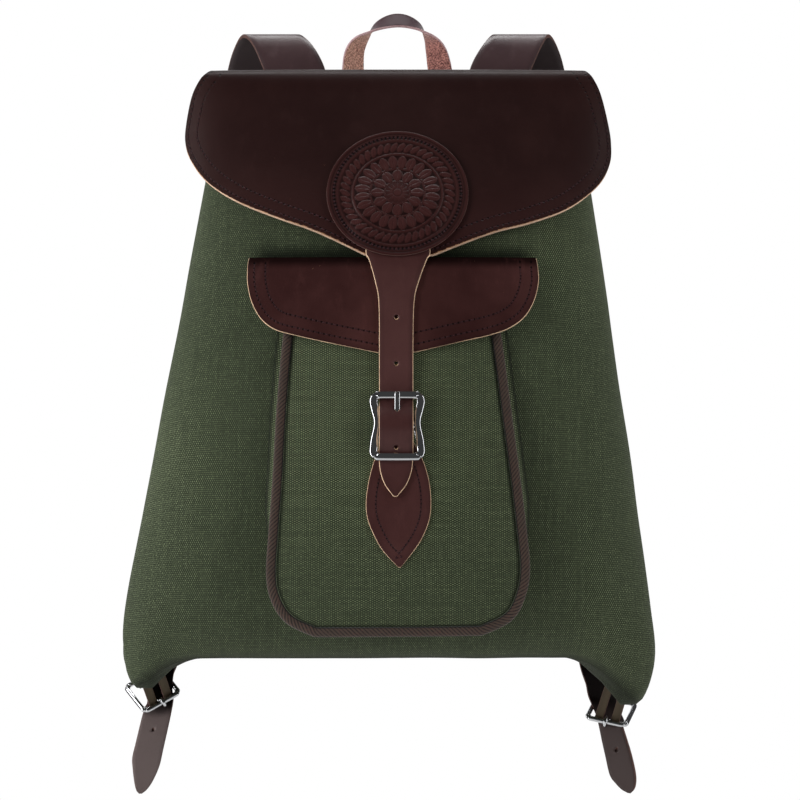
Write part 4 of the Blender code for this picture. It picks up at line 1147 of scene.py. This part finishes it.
def makeMedallion():
    slope = 1.0 / math.hypot(1.0, lid["slope"])
    rings, columns = medallion["rings"], medallion["columns"]
    spots, points = [(0.0, 0.0)], [(0, medallionMiddle(0, medallion["z"]), medallion["z"])]
    for ring in range(1, rings + 1):
        radius = medallion["radius"] * ring / rings
        for column in range(columns):
            angle = 2 * math.pi * column / columns
            x, height = radius * math.cos(angle), medallion["z"] + radius * math.sin(angle) * slope
            points.append((x, medallionMiddle(x, height), height))
            spots.append((radius * 1000, angle))
    faces = []
    for column in range(columns):
        beside = (column + 1) % columns
        faces.append([0, 1 + column, 1 + beside])
        for here in range(1, 1 + (rings - 1) * columns, columns):
            faces.append([here + column, here + columns + column, here + columns + beside, here + beside])
    points = np.array(points)
    normals = vertexNormals(points, faces)
    tooling = [rosette(radius, angle) for radius, angle in spots]
    raised = points.copy()
    for index, height in enumerate(tooling):
        raised[index] += normals[index] * medallion["relief"] * height
    uvs = np.array([(radius * math.cos(angle), radius * math.sin(angle)) for radius, angle in spots])
    piece = slab("medallion", raised, faces, thick["flap"], [medallionLeather, darkEdge, darkFleshSide], uvs,
                 points[-columns:], outer=0.5, rounding=0.35, closed=True, extra={"tooling": tooling})
    dress(piece, "patch_leather", "medallion")
    sewRow("medallionStitches", points[-columns:], "medallion", medallion["stitchInset"], medallion["stitchPitch"],
           "patch_leather", radius=medallion["threadRadius"], closed=True)


makeMedallion()
print("medallion is ready")

# Front pocket, its binding and its flap

pocket = {
    "profile": (
        # height, y
        (-0.190, -0.1475), (-0.200, -0.1500), (-0.250, -0.1625), (-0.300, -0.1730),
        (-0.350, -0.1810), (-0.400, -0.1865), (-0.440, -0.1880), (-0.465, -0.1840),
    ),
    "rows": (
        # left edge x, its height, right edge x, its height
        (-0.0738, -0.2150, 0.0645, -0.2150), (-0.0779, -0.2478, 0.0699, -0.2478),
        (-0.0808, -0.2800, 0.0742, -0.2800), (-0.0832, -0.3150, 0.0786, -0.3150),
        (-0.0852, -0.3550, 0.0838, -0.3550), (-0.0880, -0.3950, 0.0884, -0.3950),
        (-0.0896, -0.4240, 0.0905, -0.4200), (-0.0865, -0.4410, 0.0878, -0.4370),
        (-0.0775, -0.4545, 0.0798, -0.4525), (-0.0600, -0.4630, 0.0610, -0.4620),
    ),
    "face": (-0.215, -0.0046, 0.0692, 0.0212),     # its top, the x of its middle and half width there, and the flare
    "fall": 0.009, "bow": 2.4, "splay": 0.013, "splayBelow": 0.005, "leastSplay": 0.0125, "seamStep": 0.0045,
    "puff": 0.0007, "puffHalf": 0.085, "puffFade": 0.02, "gussetFold": 0.0010,
    "narrowBelow": (-0.365, 0.055),    # where the gusset narrows to half of its splay
    "columns": 61, "step": 0.0040,
    "seamShade": 0.95, "shadeReach": 1.1,     # how much painted shade the cloth gets beside the binding, and over how many mm
    "gusset": (
        # share of the way back to the bag, how much painted shade and how much painted light the cloth gets there
        (0.0, 0.0, 0.0), (0.2, 0.0, 0.2), (0.4, 0.0, 0.45), (0.6, 0.0, 0.45), (0.8, 0.0, 0.45), (0.9, 0.6, 0.0),
        (1.0, 0.95, 0.0),
    ),
    # patches of painted light on the pocket: x, height, reach, share
    "paintedLight": ((-0.045, -0.270, 0.075, 0.42), (-0.030, -0.350, 0.060, 0.38), (0.050, -0.320, 0.085, 0.30),
              (0.000, -0.440, 0.070, 0.10), (0.000, -0.330, 0.200, 0.16)),
}


def pocketCentre(height):
    return levelRow(pocket["profile"], height)[1]


def pocketFront(x, height):
    top, middle, half, spreadOut = pocket["face"]
    down = min(max((top - height) / -top, 0.0), 1.0)
    share = abs((x - middle * (1.0 - down)) / (half + spreadOut * down))
    return pocketCentre(height) + pocket["fall"] * min(share, 1.2) ** pocket["bow"]


def pocketEdge():
    # The seam round the pocket's face, and the way out of it at each place
    shares = np.linspace(0, 1, pocket["columns"])
    rows = [slantRow(row, shares) for row in refineLine(pocket["rows"], pocket["step"])]
    seam = [row[0] for row in rows] + rows[-1][1:-1] + [row[-1] for row in reversed(rows)]
    outward = []
    for index in range(len(seam)):
        before, after = seam[max(index - 2, 0)], seam[min(index + 2, len(seam) - 1)]
        outward.append(Vector((after[1] - before[1], before[0] - after[0])).normalized())
    return rows, seam, outward


def makePocket():
    rows, seam, outward = pocketEdge()
    height, columns, gap = len(rows), pocket["columns"], thick["gap"]
    points, uvs = [], []
    for x, z in (spot for row in rows for spot in row):
        puff = pocket["puff"] * noise.noise(Vector((x * 16, 2.0, z * 12)))
        puff *= smoothStep((pocket["puffHalf"] - abs(x)) / pocket["puffFade"])
        points.append((x, pocketFront(x, z) + puff, z))
        uvs.append((-z * 1000, x * 1000))
    faces = gridFaces(height, columns)
    edge = [row * columns for row in range(height)] + list(range((height - 1) * columns + 1, height * columns - 1))
    edge += [row * columns + columns - 1 for row in reversed(range(height))]
    loops, gussetShade, gussetLight = [edge], [0.0] * len(points), [0.0] * len(points)
    narrow, fade = pocket["narrowBelow"]
    for share, dark, pale in pocket["gusset"]:
        loops.append(range(len(points), len(points) + len(seam)))
        gussetShade += [dark] * len(seam)
        gussetLight += [pale] * len(seam)
        for (x, z), away in zip(seam, outward):
            face = pocketFront(x, z)
            depth = bagFront(x, z) - 3 * gap - face
            step = min(pocket["seamStep"], depth * 0.3)
            splay = pocket["splay"] + (pocket["splayBelow"] - pocket["splay"]) * max(0.0, -away.y)
            splay = min(splay, max((depth - step) * 0.92, pocket["leastSplay"]))
            splay *= 1 - 0.5 * smoothStep((narrow - z) / fade)
            back = bagFront(x + away.x * splay, z + away.y * splay) - 3 * gap
            back -= thick["canvas"] * splay / math.hypot(splay, back - face - step)
            y = face + step + (back - face - step) * share
            out = splay * share - pocket["gussetFold"] * math.sin(math.pi * share)
            points.append((x + away.x * out, y, z + away.y * out))
            off = math.hypot(splay * share, y - face) * 1000
            uvs.append((-z * 1000 - away.y * off, x * 1000 + away.x * off))
    for front, behind in zip(loops, loops[1:]):
        faces += [[front[index], behind[index], behind[index + 1], front[index + 1]]
                  for index in range(len(front) - 1)]
    near = edgeFacts(points, [points[index] for index in edge], False)[1]
    # painted shade beside the binding and at the gusset's back, painted light in patches and on the gusset
    paintedShade = [max(dark, pocket["seamShade"] * math.exp(-(away / pocket["shadeReach"]) ** 2))
               for away, dark in zip(near, gussetShade)]
    paintedLight = [pale + paintedLightAt(pocket["paintedLight"], x, z) for (x, y, z), pale in zip(points, gussetLight)]
    piece = buildMesh("frontPocket", points, faces, [oliveCanvas], uvs=uvs,
                      attributes={"paintedShade": paintedShade, "paintedLight": paintedLight})
    addWall(piece)
    dress(piece, "canvas", "front_pocket")
    half, thin = pocketBinding["halfWidth"], pocketBinding["halfThickness"]
    path = []
    for (x, z), away in zip(seam, outward):
        out = gap + half
        path.append((x + away.x * out, pocketFront(x, z) + thin - pocketBinding["forward"], z + away.y * out,
                     away.x, 0, away.y))
    fine = refineLine(path, 0.0022)
    dress(tubePiece("pocketBinding", fine[:, :3], (half, thin), 20, brownTwill, fine[:, 3:]), "twill",
          "pocket_binding")


pocketFlap = {
    "foldRows": (
        # height, how far its middle stands off the bag, left edge x, right edge x
        (-0.2120, 0.0019, -0.1000, 0.0930), (-0.2010, 0.0019, -0.1060, 0.0990), (-0.1945, 0.0028, -0.1095, 0.1020),
        (-0.1902, 0.0056, -0.1112, 0.1036), (-0.1908, 0.0088, -0.1120, 0.1044),
    ),
    "rows": (
        # left edge x, its height, right edge x, its height
        (-0.1127, -0.1985, 0.1056, -0.1985), (-0.1124, -0.2085, 0.1056, -0.2085),
        (-0.1095, -0.2215, 0.1022, -0.2215), (-0.1025, -0.2345, 0.0950, -0.2335),
        (-0.0920, -0.2428, 0.0835, -0.2420), (-0.0760, -0.2474, 0.0680, -0.2474),
        (-0.0480, -0.2536, 0.0480, -0.2519), (-0.0130, -0.2606, 0.0130, -0.2600),
    ),
    "middle": -0.0035, "half": 0.109, "fall": 0.0105, "bow": 2.5, "clear": 0.0022,
    "columns": 25, "step": 0.0020,
    "stitchPitch": 0.0041, "stitchRows": (0.0057, 0.0143), "rowsRunOn": 0.024,
}


def pocketFlapMiddle(x, height):
    share = abs((x - pocketFlap["middle"]) / pocketFlap["half"])
    fall = pocketFlap["fall"] * share ** pocketFlap["bow"]
    return pocketCentre(height) - pocketFlap["clear"] - thick["flap"] / 2 + fall


def makePocketFlap():
    shares = np.linspace(0, 1, pocketFlap["columns"])
    grid = []
    for height, standOff, left, right in pocketFlap["foldRows"]:
        grid.append([(x, bagFront(x, height) - standOff, height)
                     for x, height in slantRow((left, height, right, height), shares)])
    for row in pocketFlap["rows"]:
        grid.append([(x, pocketFlapMiddle(x, height), height) for x, height in slantRow(row, shares)])
    fine = refineBoth(grid, pocketFlap["step"])
    firstX = grid[len(pocketFlap["foldRows"])][0][0]
    front = next(row for row in range(len(fine)) if fine[row, 0, 0] < firstX + 0.0001)
    path = edgePath(fine[front:])
    above = np.array((0, 0, pocketFlap["rowsRunOn"]))
    path = np.concatenate([[path[0] + above], path, [path[-1] + above]])
    piece = gridSlab("pocketFlap", fine, thick["flap"], [flapLeather, tanEdge, darkFleshSide], outer=0.5, path=path,
                     rounding=0.28)
    dress(piece, "patch_leather", "pocket_flap")
    for order, inset in enumerate(pocketFlap["stitchRows"]):
        sewRow(f"pocketFlapStitches{order}", path, "pocketFlap", inset, pocketFlap["stitchPitch"], "patch_leather",
               margin=pocketFlap["rowsRunOn"] - 0.006)


makePocket()
makePocketFlap()
print("front pocket is ready")

# Closure strap, buckle and tab

closure = {
    "strapRows": (
        # height, y of the middle of the leather, x of its middle, half width
        (-0.1515, -0.1364, 0.0000, 0.0195), (-0.1640, -0.1424, 0.0000, 0.0225), (-0.1850, -0.1524, 0.0004, 0.0242),
        (-0.1900, -0.1543, 0.0003, 0.0220), (-0.1980, -0.1563, 0.0000, 0.0192), (-0.2075, -0.1590, -0.0004, 0.0163),
        (-0.2180, -0.1617, -0.0007, 0.0138), (-0.2334, -0.1656, -0.0009, 0.0129), (-0.2600, -0.1717, -0.0010, 0.0127),
        (-0.2750, -0.1724, -0.0010, 0.0127), (-0.2890, -0.1733, -0.0010, 0.0127), (-0.2965, -0.1762, -0.0010, 0.0127),
        (-0.3030, -0.1828, -0.0010, 0.0127), (-0.3085, -0.1873, -0.0010, 0.0127), (-0.3145, -0.1889, -0.0010, 0.0127),
        (-0.3230, -0.1875, -0.0010, 0.0127), (-0.3380, -0.1839, -0.0011, 0.0126), (-0.3480, -0.1850, -0.0012, 0.0116),
        (-0.3580, -0.1868, -0.0014, 0.0080), (-0.3667, -0.1884, -0.0016, 0.0012),
    ),
    "holes": (-0.2334, -0.2680, -0.3300), "holeRadius": 0.0016, "holeWay": (0, 0.94, 0.34),
    "prongHole": (0.0111, 0.0025), "prongHoleRadius": 0.0021,
    "wire": 0.0020, "broadWire": 0.0031,
    "buckle": {"width": 0.0350, "length": 0.0462, "corner": 0.0042, "waist": 0.0031, "dip": 0.0010,
               "middle": (-0.0002, -0.1830, -0.3144), "across": (1.0, 0.0, 0.0), "along": (0.0, 0.2020, 0.9790)},
    "tabRows": (
        # height, left edge x, right edge x
        (-0.3230, -0.0105, 0.0105), (-0.3330, -0.0145, 0.0155), (-0.3430, -0.0182, 0.0200), (-0.3560, -0.0215, 0.0235),
        (-0.3700, -0.0233, 0.0248), (-0.3830, -0.0222, 0.0237), (-0.3960, -0.0170, 0.0188), (-0.4070, -0.0105, 0.0118),
        (-0.4188, 0.0008, 0.0022),
    ),
    # how far the frame's long side is drawn in, from its upper end to its lower one
    "waistCurve": ((0.74, 0.04), (0.52, 0.42), (0.31, 0.85), (0.12, 1.0), (-0.08, 0.86), (-0.27, 0.54),
                   (-0.47, 0.23), (-0.68, 0.06)),
    "tabHalf": 0.0105, "tabTurn": (-25, 15, 55, 90, 125, 160), "tabStitchInset": 0.0074, "tabStitchPitch": 0.0034,
    "prongRadius": 0.0011, "prongWide": 1.85, "prongClear": 0.0003,
}


def strapGrid(rows, step, shares=np.linspace(-1, 1, 9)):
    # Rows of (middle, half of the width as a vector) as a fine grid of points
    table = refineLine([(*middle, *half) for middle, half in rows], step)
    return np.array([[row[:3] + row[3:] * share for share in shares] for row in table])


def bucklePlace(facts):
    across, up = Vector(facts["across"]).normalized(), Vector(facts["along"]).normalized()
    return Vector(facts["middle"]), across, up, across.cross(up)


def framePath(size, middle, across, up, face):
    # A rounded rectangle of wire, drawn in at the middle of its long sides and set back there
    halfWidth, halfLength, corner = size["width"] / 2, size["length"] / 2, size["corner"]
    path = []
    for turn, (side, end) in enumerate(((1, 1), (-1, 1), (-1, -1), (1, -1))):
        for step in range(4):
            angle = math.pi / 2 * (turn + step / 3)
            path.append((side * (halfWidth - corner) + corner * math.cos(angle),
                         end * (halfLength - corner) + corner * math.sin(angle)))
        if side != end and size["waist"]:
            path += [(side * (halfWidth - size["waist"] * pull), share * halfLength)
                     for share, pull in closure["waistCurve"][::-side]]
    return refineLine([middle + across * a + up * b - face * (size["dip"] * max(0.0, 1 - (b / halfLength) ** 2))
                       for a, b in path], 0.0006, closed=True)


def prongPath(bar, up, face, ring, end, tipFace):
    # A ring round the bar that opens into a finger, up to where the finger rests on the frame
    angles = [math.radians(-200 + 34 * step) for step in range(9)]
    path = [bar + up * ring * math.sin(angle) + face * ring * math.cos(angle) for angle in angles]
    path += [bar + up * (ring + end * 0.25) + face * (tipFace * 0.55 + ring * 0.25),
             bar + up * end * 0.75 + face * tipFace, bar + up * (end + 0.0016) + face * tipFace]
    return refineLine(path, 0.0005)


def makeProng(name, path, across, node, wide=1.25):
    # Flattened wire whose tip is drawn to a rounded end
    taper = 1.0 - 0.75 * np.clip((np.linspace(0, 1, len(path)) - 0.985) / 0.015, 0, 1) ** 2
    radius = closure["prongRadius"]
    dress(tubePiece(name, path, (radius * wide, radius), 16, brightSteel, across, taper=taper), "steel", node)


def wrapRows(bar, across, up, face, radius, halfWidth, angles):
    # A strap's rows round a buckle's bar, at angles from the frame's face
    turns = [math.radians(angle) for angle in angles]
    return [(bar + face * radius * math.cos(turn) + up * radius * math.sin(turn), across * halfWidth)
            for turn in turns]


def slottedSlab(name, rows, slotRows, thickness, materials, slot=0.3, step=0.0016, flip=False):
    # A strap with a slot through the middle of some of its rows, given as first and last row
    coarse = np.array([[(*middle, *half)] for middle, half in rows])
    table, marks = [], []
    for index in range(len(coarse) - 1):
        near = coarse[max(index - 1, 0):index + 3]
        counts = [max(1, math.ceil(np.linalg.norm((b - a)[0, :3]) / step)) for a, b in zip(near, near[1:])]
        first, count = (counts[0], counts[1]) if index else (0, counts[0])
        table += [row[0] for row in refine(near, step)[first:first + count]]
        marks += [index] * count
    table.append(coarse[-1][0])
    shares = [-1, -0.92, -0.75, -0.5, -slot, 0, slot, 0.5, 0.75, 0.92, 1]
    grid = np.array([[row[:3] + row[3:] * share for share in shares] for row in table])
    openCells = {(row, column) for row, mark in enumerate(marks) if slotRows[0] <= mark < slotRows[1]
                 for column in (shares.index(-slot), shares.index(0))}
    faces = gridFaces(*grid.shape[:2], flip, openCells)
    used = sorted({corner for face in faces for corner in face})
    place = {old: new for new, old in enumerate(used)}
    faces = [[place[corner] for corner in face] for face in faces]
    return slab(name, grid.reshape(-1, 3)[used], faces, thickness, materials, gridUvs(grid)[used], edgePath(grid),
                0.5), grid


def makeClosure():
    size, wire = closure["buckle"], closure["wire"]
    middle, across, up, face = bucklePlace(size)
    rows = [(Vector((x, y, height)), Vector((half, 0, 0))) for height, y, x, half in closure["strapRows"]]
    strap = gridSlab("closureStrap", strapGrid(rows, 0.0016), thick["strap"], [patchLeather, tanEdge, darkFleshSide],
                     outer=0.5)
    holes = []
    for height in closure["holes"]:
        y, x = levelRow(closure["strapRows"], height)[1:3]
        holes.append(((x, y, height), closure["holeWay"], closure["holeRadius"], 0.014))
    above, before = closure["prongHole"]
    holes.append((middle + up * above + face * before, up, closure["prongHoleRadius"], 0.011))
    punchHoles(strap, holes, tanEdge)
    dress(strap, "patch_leather", "closure_strap")
    frameWire = tubePiece("closureBuckle", framePath(size, middle, across, up, face), (wire, closure["broadWire"]), 24,
                          brightSteel, face, closed=True)
    dress(frameWire, "steel", "closure_buckle")
    centre, reach = middle - face * size["dip"], across * (size["width"] / 2 - size["waist"])
    bar = tubePiece("closureBuckleBar", refineLine([centre - reach, centre, centre + reach], 0.002),
                    (wire * 0.93, wire * 0.93), 20, brightSteel, face)
    dress(bar, "steel")
    ring = wire + closure["prongClear"] + closure["prongRadius"]
    makeProng("closureProng", prongPath(centre, up, face, ring, size["length"] / 2, size["dip"] + ring + 0.0001),
              across, "closure_prong", closure["prongWide"])
    radius = wire + closure["prongClear"] + thick["tab"] / 2
    rows = wrapRows(centre, across, up, face, radius, closure["tabHalf"], closure["tabTurn"])
    wrapped = len(rows)
    for height, left, right in closure["tabRows"]:
        x = (left + right) / 2
        y = pocketFront(x, height) - thick["gap"] - thick["tab"] / 2
        rows.append((Vector((x, y, height)), Vector(((right - left) / 2, 0, 0))))
    tab, grid = slottedSlab("buckleTab", rows, (0, wrapped), thick["tab"], [tabLeather, tanEdge, darkFleshSide])
    dress(tab, "patch_leather", "buckle_tab")
    sewRow("tabStitches", edgePath(grid), "buckleTab", closure["tabStitchInset"], closure["tabStitchPitch"],
           "patch_leather", margin=0.030)


makeClosure()
print("closure is ready")

# Grab handle

handle = {
    "rows": (
        # x, y, height, turn of the strap in degrees
        (-0.0352, 0.0002, -0.0950, 0), (-0.0355, -0.0008, -0.0700, 2), (-0.0354, 0.0014, -0.0415, 20),
        (-0.0353, 0.0026, -0.0333, 31), (-0.0347, 0.0034, -0.0235, 38), (-0.0329, 0.0040, -0.0168, 48),
        (-0.0294, 0.0046, -0.0114, 62), (-0.0232, 0.0050, -0.0054, 86), (-0.0160, 0.0048, 0.0008, 110),
        (-0.0080, 0.0045, 0.0044, 122), (0.0000, 0.0042, 0.0057, 126), (0.0080, 0.0045, 0.0046, 122),
        (0.0158, 0.0048, 0.0010, 110), (0.0216, 0.0050, -0.0048, 88), (0.0256, 0.0046, -0.0096, 68),
        (0.0287, 0.0040, -0.0148, 48), (0.0310, 0.0034, -0.0204, 34), (0.0323, 0.0028, -0.0262, 23),
        (0.0335, 0.0018, -0.0333, 12), (0.0338, 0.0012, -0.0415, 5),
        (0.0338, -0.0008, -0.0700, 0), (0.0336, 0.0002, -0.0950, 0),
    ),
    "width": 0.0194, "thickness": 0.0019,
}


def makeHandle():
    table = refineLine(handle["rows"], 0.004)
    rows = []
    for index, (x, y, height, turn) in enumerate(table):
        before, after = table[max(index - 1, 0)], table[min(index + 1, len(table) - 1)]
        forward = Vector((after[0] - before[0], 0, after[2] - before[2])).normalized()
        angle = math.radians(turn)
        width = -Vector((forward.z, 0, -forward.x)) * math.cos(angle) + Vector((0, -1, 0)) * math.sin(angle)
        rows.append((Vector((x, y, height)), width * handle["width"] / 2))
    piece = gridSlab("grabHandle", strapGrid(rows, 0.0016), handle["thickness"], [handleLeather, handleEdge, fleshSide],
                     outer=0.5, flip=True)
    dress(piece, "strap_leather", "grab_handle")
    for side, end in (("Left", 0), ("Right", -1)):
        sewnBox(f"handleStitches{side}", handle["rows"][end][0], backSeams["handleHalf"], "grabHandle")


makeHandle()
print("grab handle is ready")

# Shoulder straps with their buckles and chapes

shoulder = {
    "topRows": (
        # x outwards, y, height, half width, tilt and turn of the strap's width in degrees
        (0.0700, 0.0003, -0.0950, 0.0220, 0, 0), (0.0722, -0.0005, -0.0740, 0.0222, 0, 0),
        (0.0765, 0.0008, -0.0500, 0.0232, 0, 0), (0.0835, 0.0060, -0.0290, 0.0246, 0, 0),
        (0.0920, 0.0140, -0.0125, 0.0235, 0, 0),
    ),
    "lowRows": {
        -1: (
            (0.1013, 0.0240, -0.0045, 0.0222, 0, 0), (0.1085, 0.0345, -0.0125, 0.0222, 0, 0),
            (0.1150, 0.0415, -0.0330, 0.0222, 0, 0), (0.1230, 0.0470, -0.0800, 0.0220, 0, 0),
            (0.1330, 0.0520, -0.1500, 0.0220, 0, 0), (0.1420, 0.0540, -0.2300, 0.0220, 0, 0),
            (0.1500, 0.0510, -0.3100, 0.0195, 2, 0), (0.1590, 0.0410, -0.3900, 0.0150, 4, 0),
            (0.1710, 0.0220, -0.4550, 0.0118, 10, 2), (0.1800, 0.0040, -0.4850, 0.0116, 20, 5),
        ),
        1: (
            (0.0993, 0.0240, -0.0045, 0.0222, 0, 0), (0.1062, 0.0345, -0.0125, 0.0222, 0, 0),
            (0.1127, 0.0415, -0.0330, 0.0222, 0, 0), (0.1207, 0.0470, -0.0800, 0.0220, 0, 0),
            (0.1310, 0.0520, -0.1500, 0.0220, 0, 0), (0.1405, 0.0540, -0.2300, 0.0220, 0, 0),
            (0.1480, 0.0510, -0.3100, 0.0195, 2, 0), (0.1490, 0.0410, -0.3900, 0.0150, 3, 0),
            (0.1510, 0.0250, -0.4650, 0.0118, 5, 3), (0.1556, 0.0080, -0.5050, 0.0116, 8, 7),
        ),
    },
    # through the small buckle, in its own directions: inwards, up the frame, out of its face
    "buckleRows": {-1: ((0.0275, 0.0300, 0.0060), (0.0165, 0.0220, 0.0055), (0.0080, 0.0145, 0.0045),
                        (0.0014, 0.0075, -0.0020)),
                   1: ((0.0156, 0.0370, 0.0060), (0.0115, 0.0270, 0.0055), (0.0070, 0.0180, 0.0045),
                       (-0.0015, 0.0085, -0.0024))},
    "buckleHalf": 0.0116, "prongHole": (0.0070, 0.0031),
    "tailRows": {
        # outer edge x and height, inner edge x and height, y of each
        -1: (
            (-0.1984, -0.5380, -0.1752, -0.5288, -0.0345, -0.0312),
            (-0.2018, -0.5517, -0.1770, -0.5410, -0.0368, -0.0360),
            (-0.2046, -0.5635, -0.1798, -0.5545, -0.0375, -0.0375),
            (-0.2072, -0.5750, -0.1828, -0.5678, -0.0378, -0.0376),
            (-0.2067, -0.5845, -0.1858, -0.5810, -0.0380, -0.0378),
            (-0.2057, -0.5930, -0.1908, -0.5925, -0.0380, -0.0380),
            (-0.2046, -0.5984, -0.1946, -0.5984, -0.0382, -0.0382),
            (-0.2034, -0.6012, -0.1974, -0.6012, -0.0384, -0.0384),
            (-0.2018, -0.6028, -0.1996, -0.6028, -0.0384, -0.0384),
        ),
        1: (
            (0.1757, -0.5490, 0.1580, -0.5510, -0.0405, -0.0310), (0.1785, -0.5590, 0.1603, -0.5622, -0.0434, -0.0325),
            (0.1816, -0.5695, 0.1628, -0.5734, -0.0450, -0.0335),
            (0.1846, -0.5820, 0.1664, -0.5886, -0.0455, -0.0338), (0.1858, -0.5906, 0.1708, -0.5949, -0.0450, -0.0355),
            (0.1852, -0.5969, 0.1747, -0.5990, -0.0440, -0.0375), (0.1838, -0.6002, 0.1776, -0.6010, -0.0425, -0.0390),
            (0.1820, -0.6020, 0.1797, -0.6021, -0.0410, -0.0405),
        ),
    },
    "tailHoles": {-1: (-0.1908, -0.0373, -0.5545), 1: (0.1708, -0.0394, -0.5692)},
    "tailHoleRadius": 0.0011, "tailHoleWay": (0, 0.62, -0.78), "anchorTurn": (95, 115, 135, 152),
    "buckles": {
        # the bar that the chape holds, the direction from outside to inside, and up the frame
        -1: ((-0.1835, -0.0400, -0.5311), (0.835, 0.290, 0.467), (-0.530, 0.655, 0.541)),
        1: ((0.1627, -0.0400, -0.5463), (-0.948, 0.252, 0.186), (0.310, 0.838, 0.444)),
    },
    "buckleSize": {"width": 0.0310, "length": 0.0320, "corner": 0.0045, "waist": 0.0, "dip": 0.0},
    "anchors": {
        -1: ((-0.1910, -0.0600, -0.5134), (-0.1900, -0.0490, -0.5128), (0.87, 0.10, 0.48)),
        1: ((0.1715, -0.0600, -0.5216), (0.1705, -0.0490, -0.5206), (-0.80, 0.10, 0.60)),
    },
    "anchorLeather": 0.0020, "anchorHalf": 0.0100,
}


def strapBucklePlace(side):
    bar, inward, up = (Vector(part) for part in shoulder["buckles"][side])
    inward.normalize()
    up.normalize()
    return bar, inward, up, inward.cross(up) * -side


def tilted(side, row):
    x, y, height, half, tilt, turn = row
    tilt, turn = math.radians(tilt), math.radians(turn)
    inward = Vector((-side * math.cos(tilt) * math.cos(turn), math.cos(tilt) * math.sin(turn), math.sin(tilt)))
    return Vector((side * x, y, height)), inward * half


def makeShoulderStrap(side, name):
    node = name.lower()
    bar, inward, up, face = strapBucklePlace(side)
    rows = [tilted(side, row) for row in shoulder["topRows"] + shoulder["lowRows"][side]]
    rows += [(bar + inward * a + up * b + face * c, inward * shoulder["buckleHalf"])
             for a, b, c in shoulder["buckleRows"][side]]
    for outerX, outerZ, innerX, innerZ, outerY, innerY in shoulder["tailRows"][side]:
        outer, inner = Vector((outerX, outerY, outerZ)), Vector((innerX, innerY, innerZ))
        rows.append(((outer + inner) / 2, (inner - outer) / 2))
    strap = gridSlab(f"shoulderStrap{name}", strapGrid(rows, 0.0020), thick["shoulder"],
                     [strapLeather, darkEdge, strapBack], outer=0.5, flip=side < 0)
    above, behind = shoulder["prongHole"]
    tailHole = (shoulder["tailHoles"][side], shoulder["tailHoleWay"], shoulder["tailHoleRadius"], 0.014)
    punchHoles(strap, [(bar + up * above - face * behind, up, closure["prongHoleRadius"], 0.011), tailHole], darkEdge)
    dress(strap, "strap_leather", f"shoulder_strap_{node}")
    sewnBox(f"shoulderStitches{name}", side * backSeams["strapMiddle"], backSeams["strapHalf"],
            f"shoulderStrap{name}Back")
    size, wire = shoulder["buckleSize"], closure["wire"]
    path = framePath(size, bar + up * size["length"] / 2, inward, up, face)
    buckle = tubePiece(f"strapBuckle{name}", path, (wire, wire), 20, brightSteel, face, closed=True)
    dress(buckle, "steel", f"strap_buckle_{node}")
    ring = wire + closure["prongClear"] + closure["prongRadius"]
    makeProng(f"strapProng{name}", prongPath(bar, up, -face, ring, size["length"], ring), inward, f"strap_prong_{node}")
    radius = wire + closure["prongClear"] + shoulder["anchorLeather"] / 2
    *starts, lie = shoulder["anchors"][side]
    half = shoulder["anchorHalf"]
    rows = [(Vector(start), Vector(lie).normalized() * half) for start in starts]
    rows += wrapRows(bar, inward, up, face, radius, half, shoulder["anchorTurn"])
    anchor, grid = slottedSlab(f"strapAnchor{name}", rows, (1, len(rows)), shoulder["anchorLeather"],
                               [chapeLeather, darkEdge, darkFleshSide], flip=side > 0)
    dress(anchor, "patch_leather", f"strap_anchor_{node}")


makeShoulderStrap(-1, "Left")
makeShoulderStrap(1, "Right")
print("shoulder straps are ready")
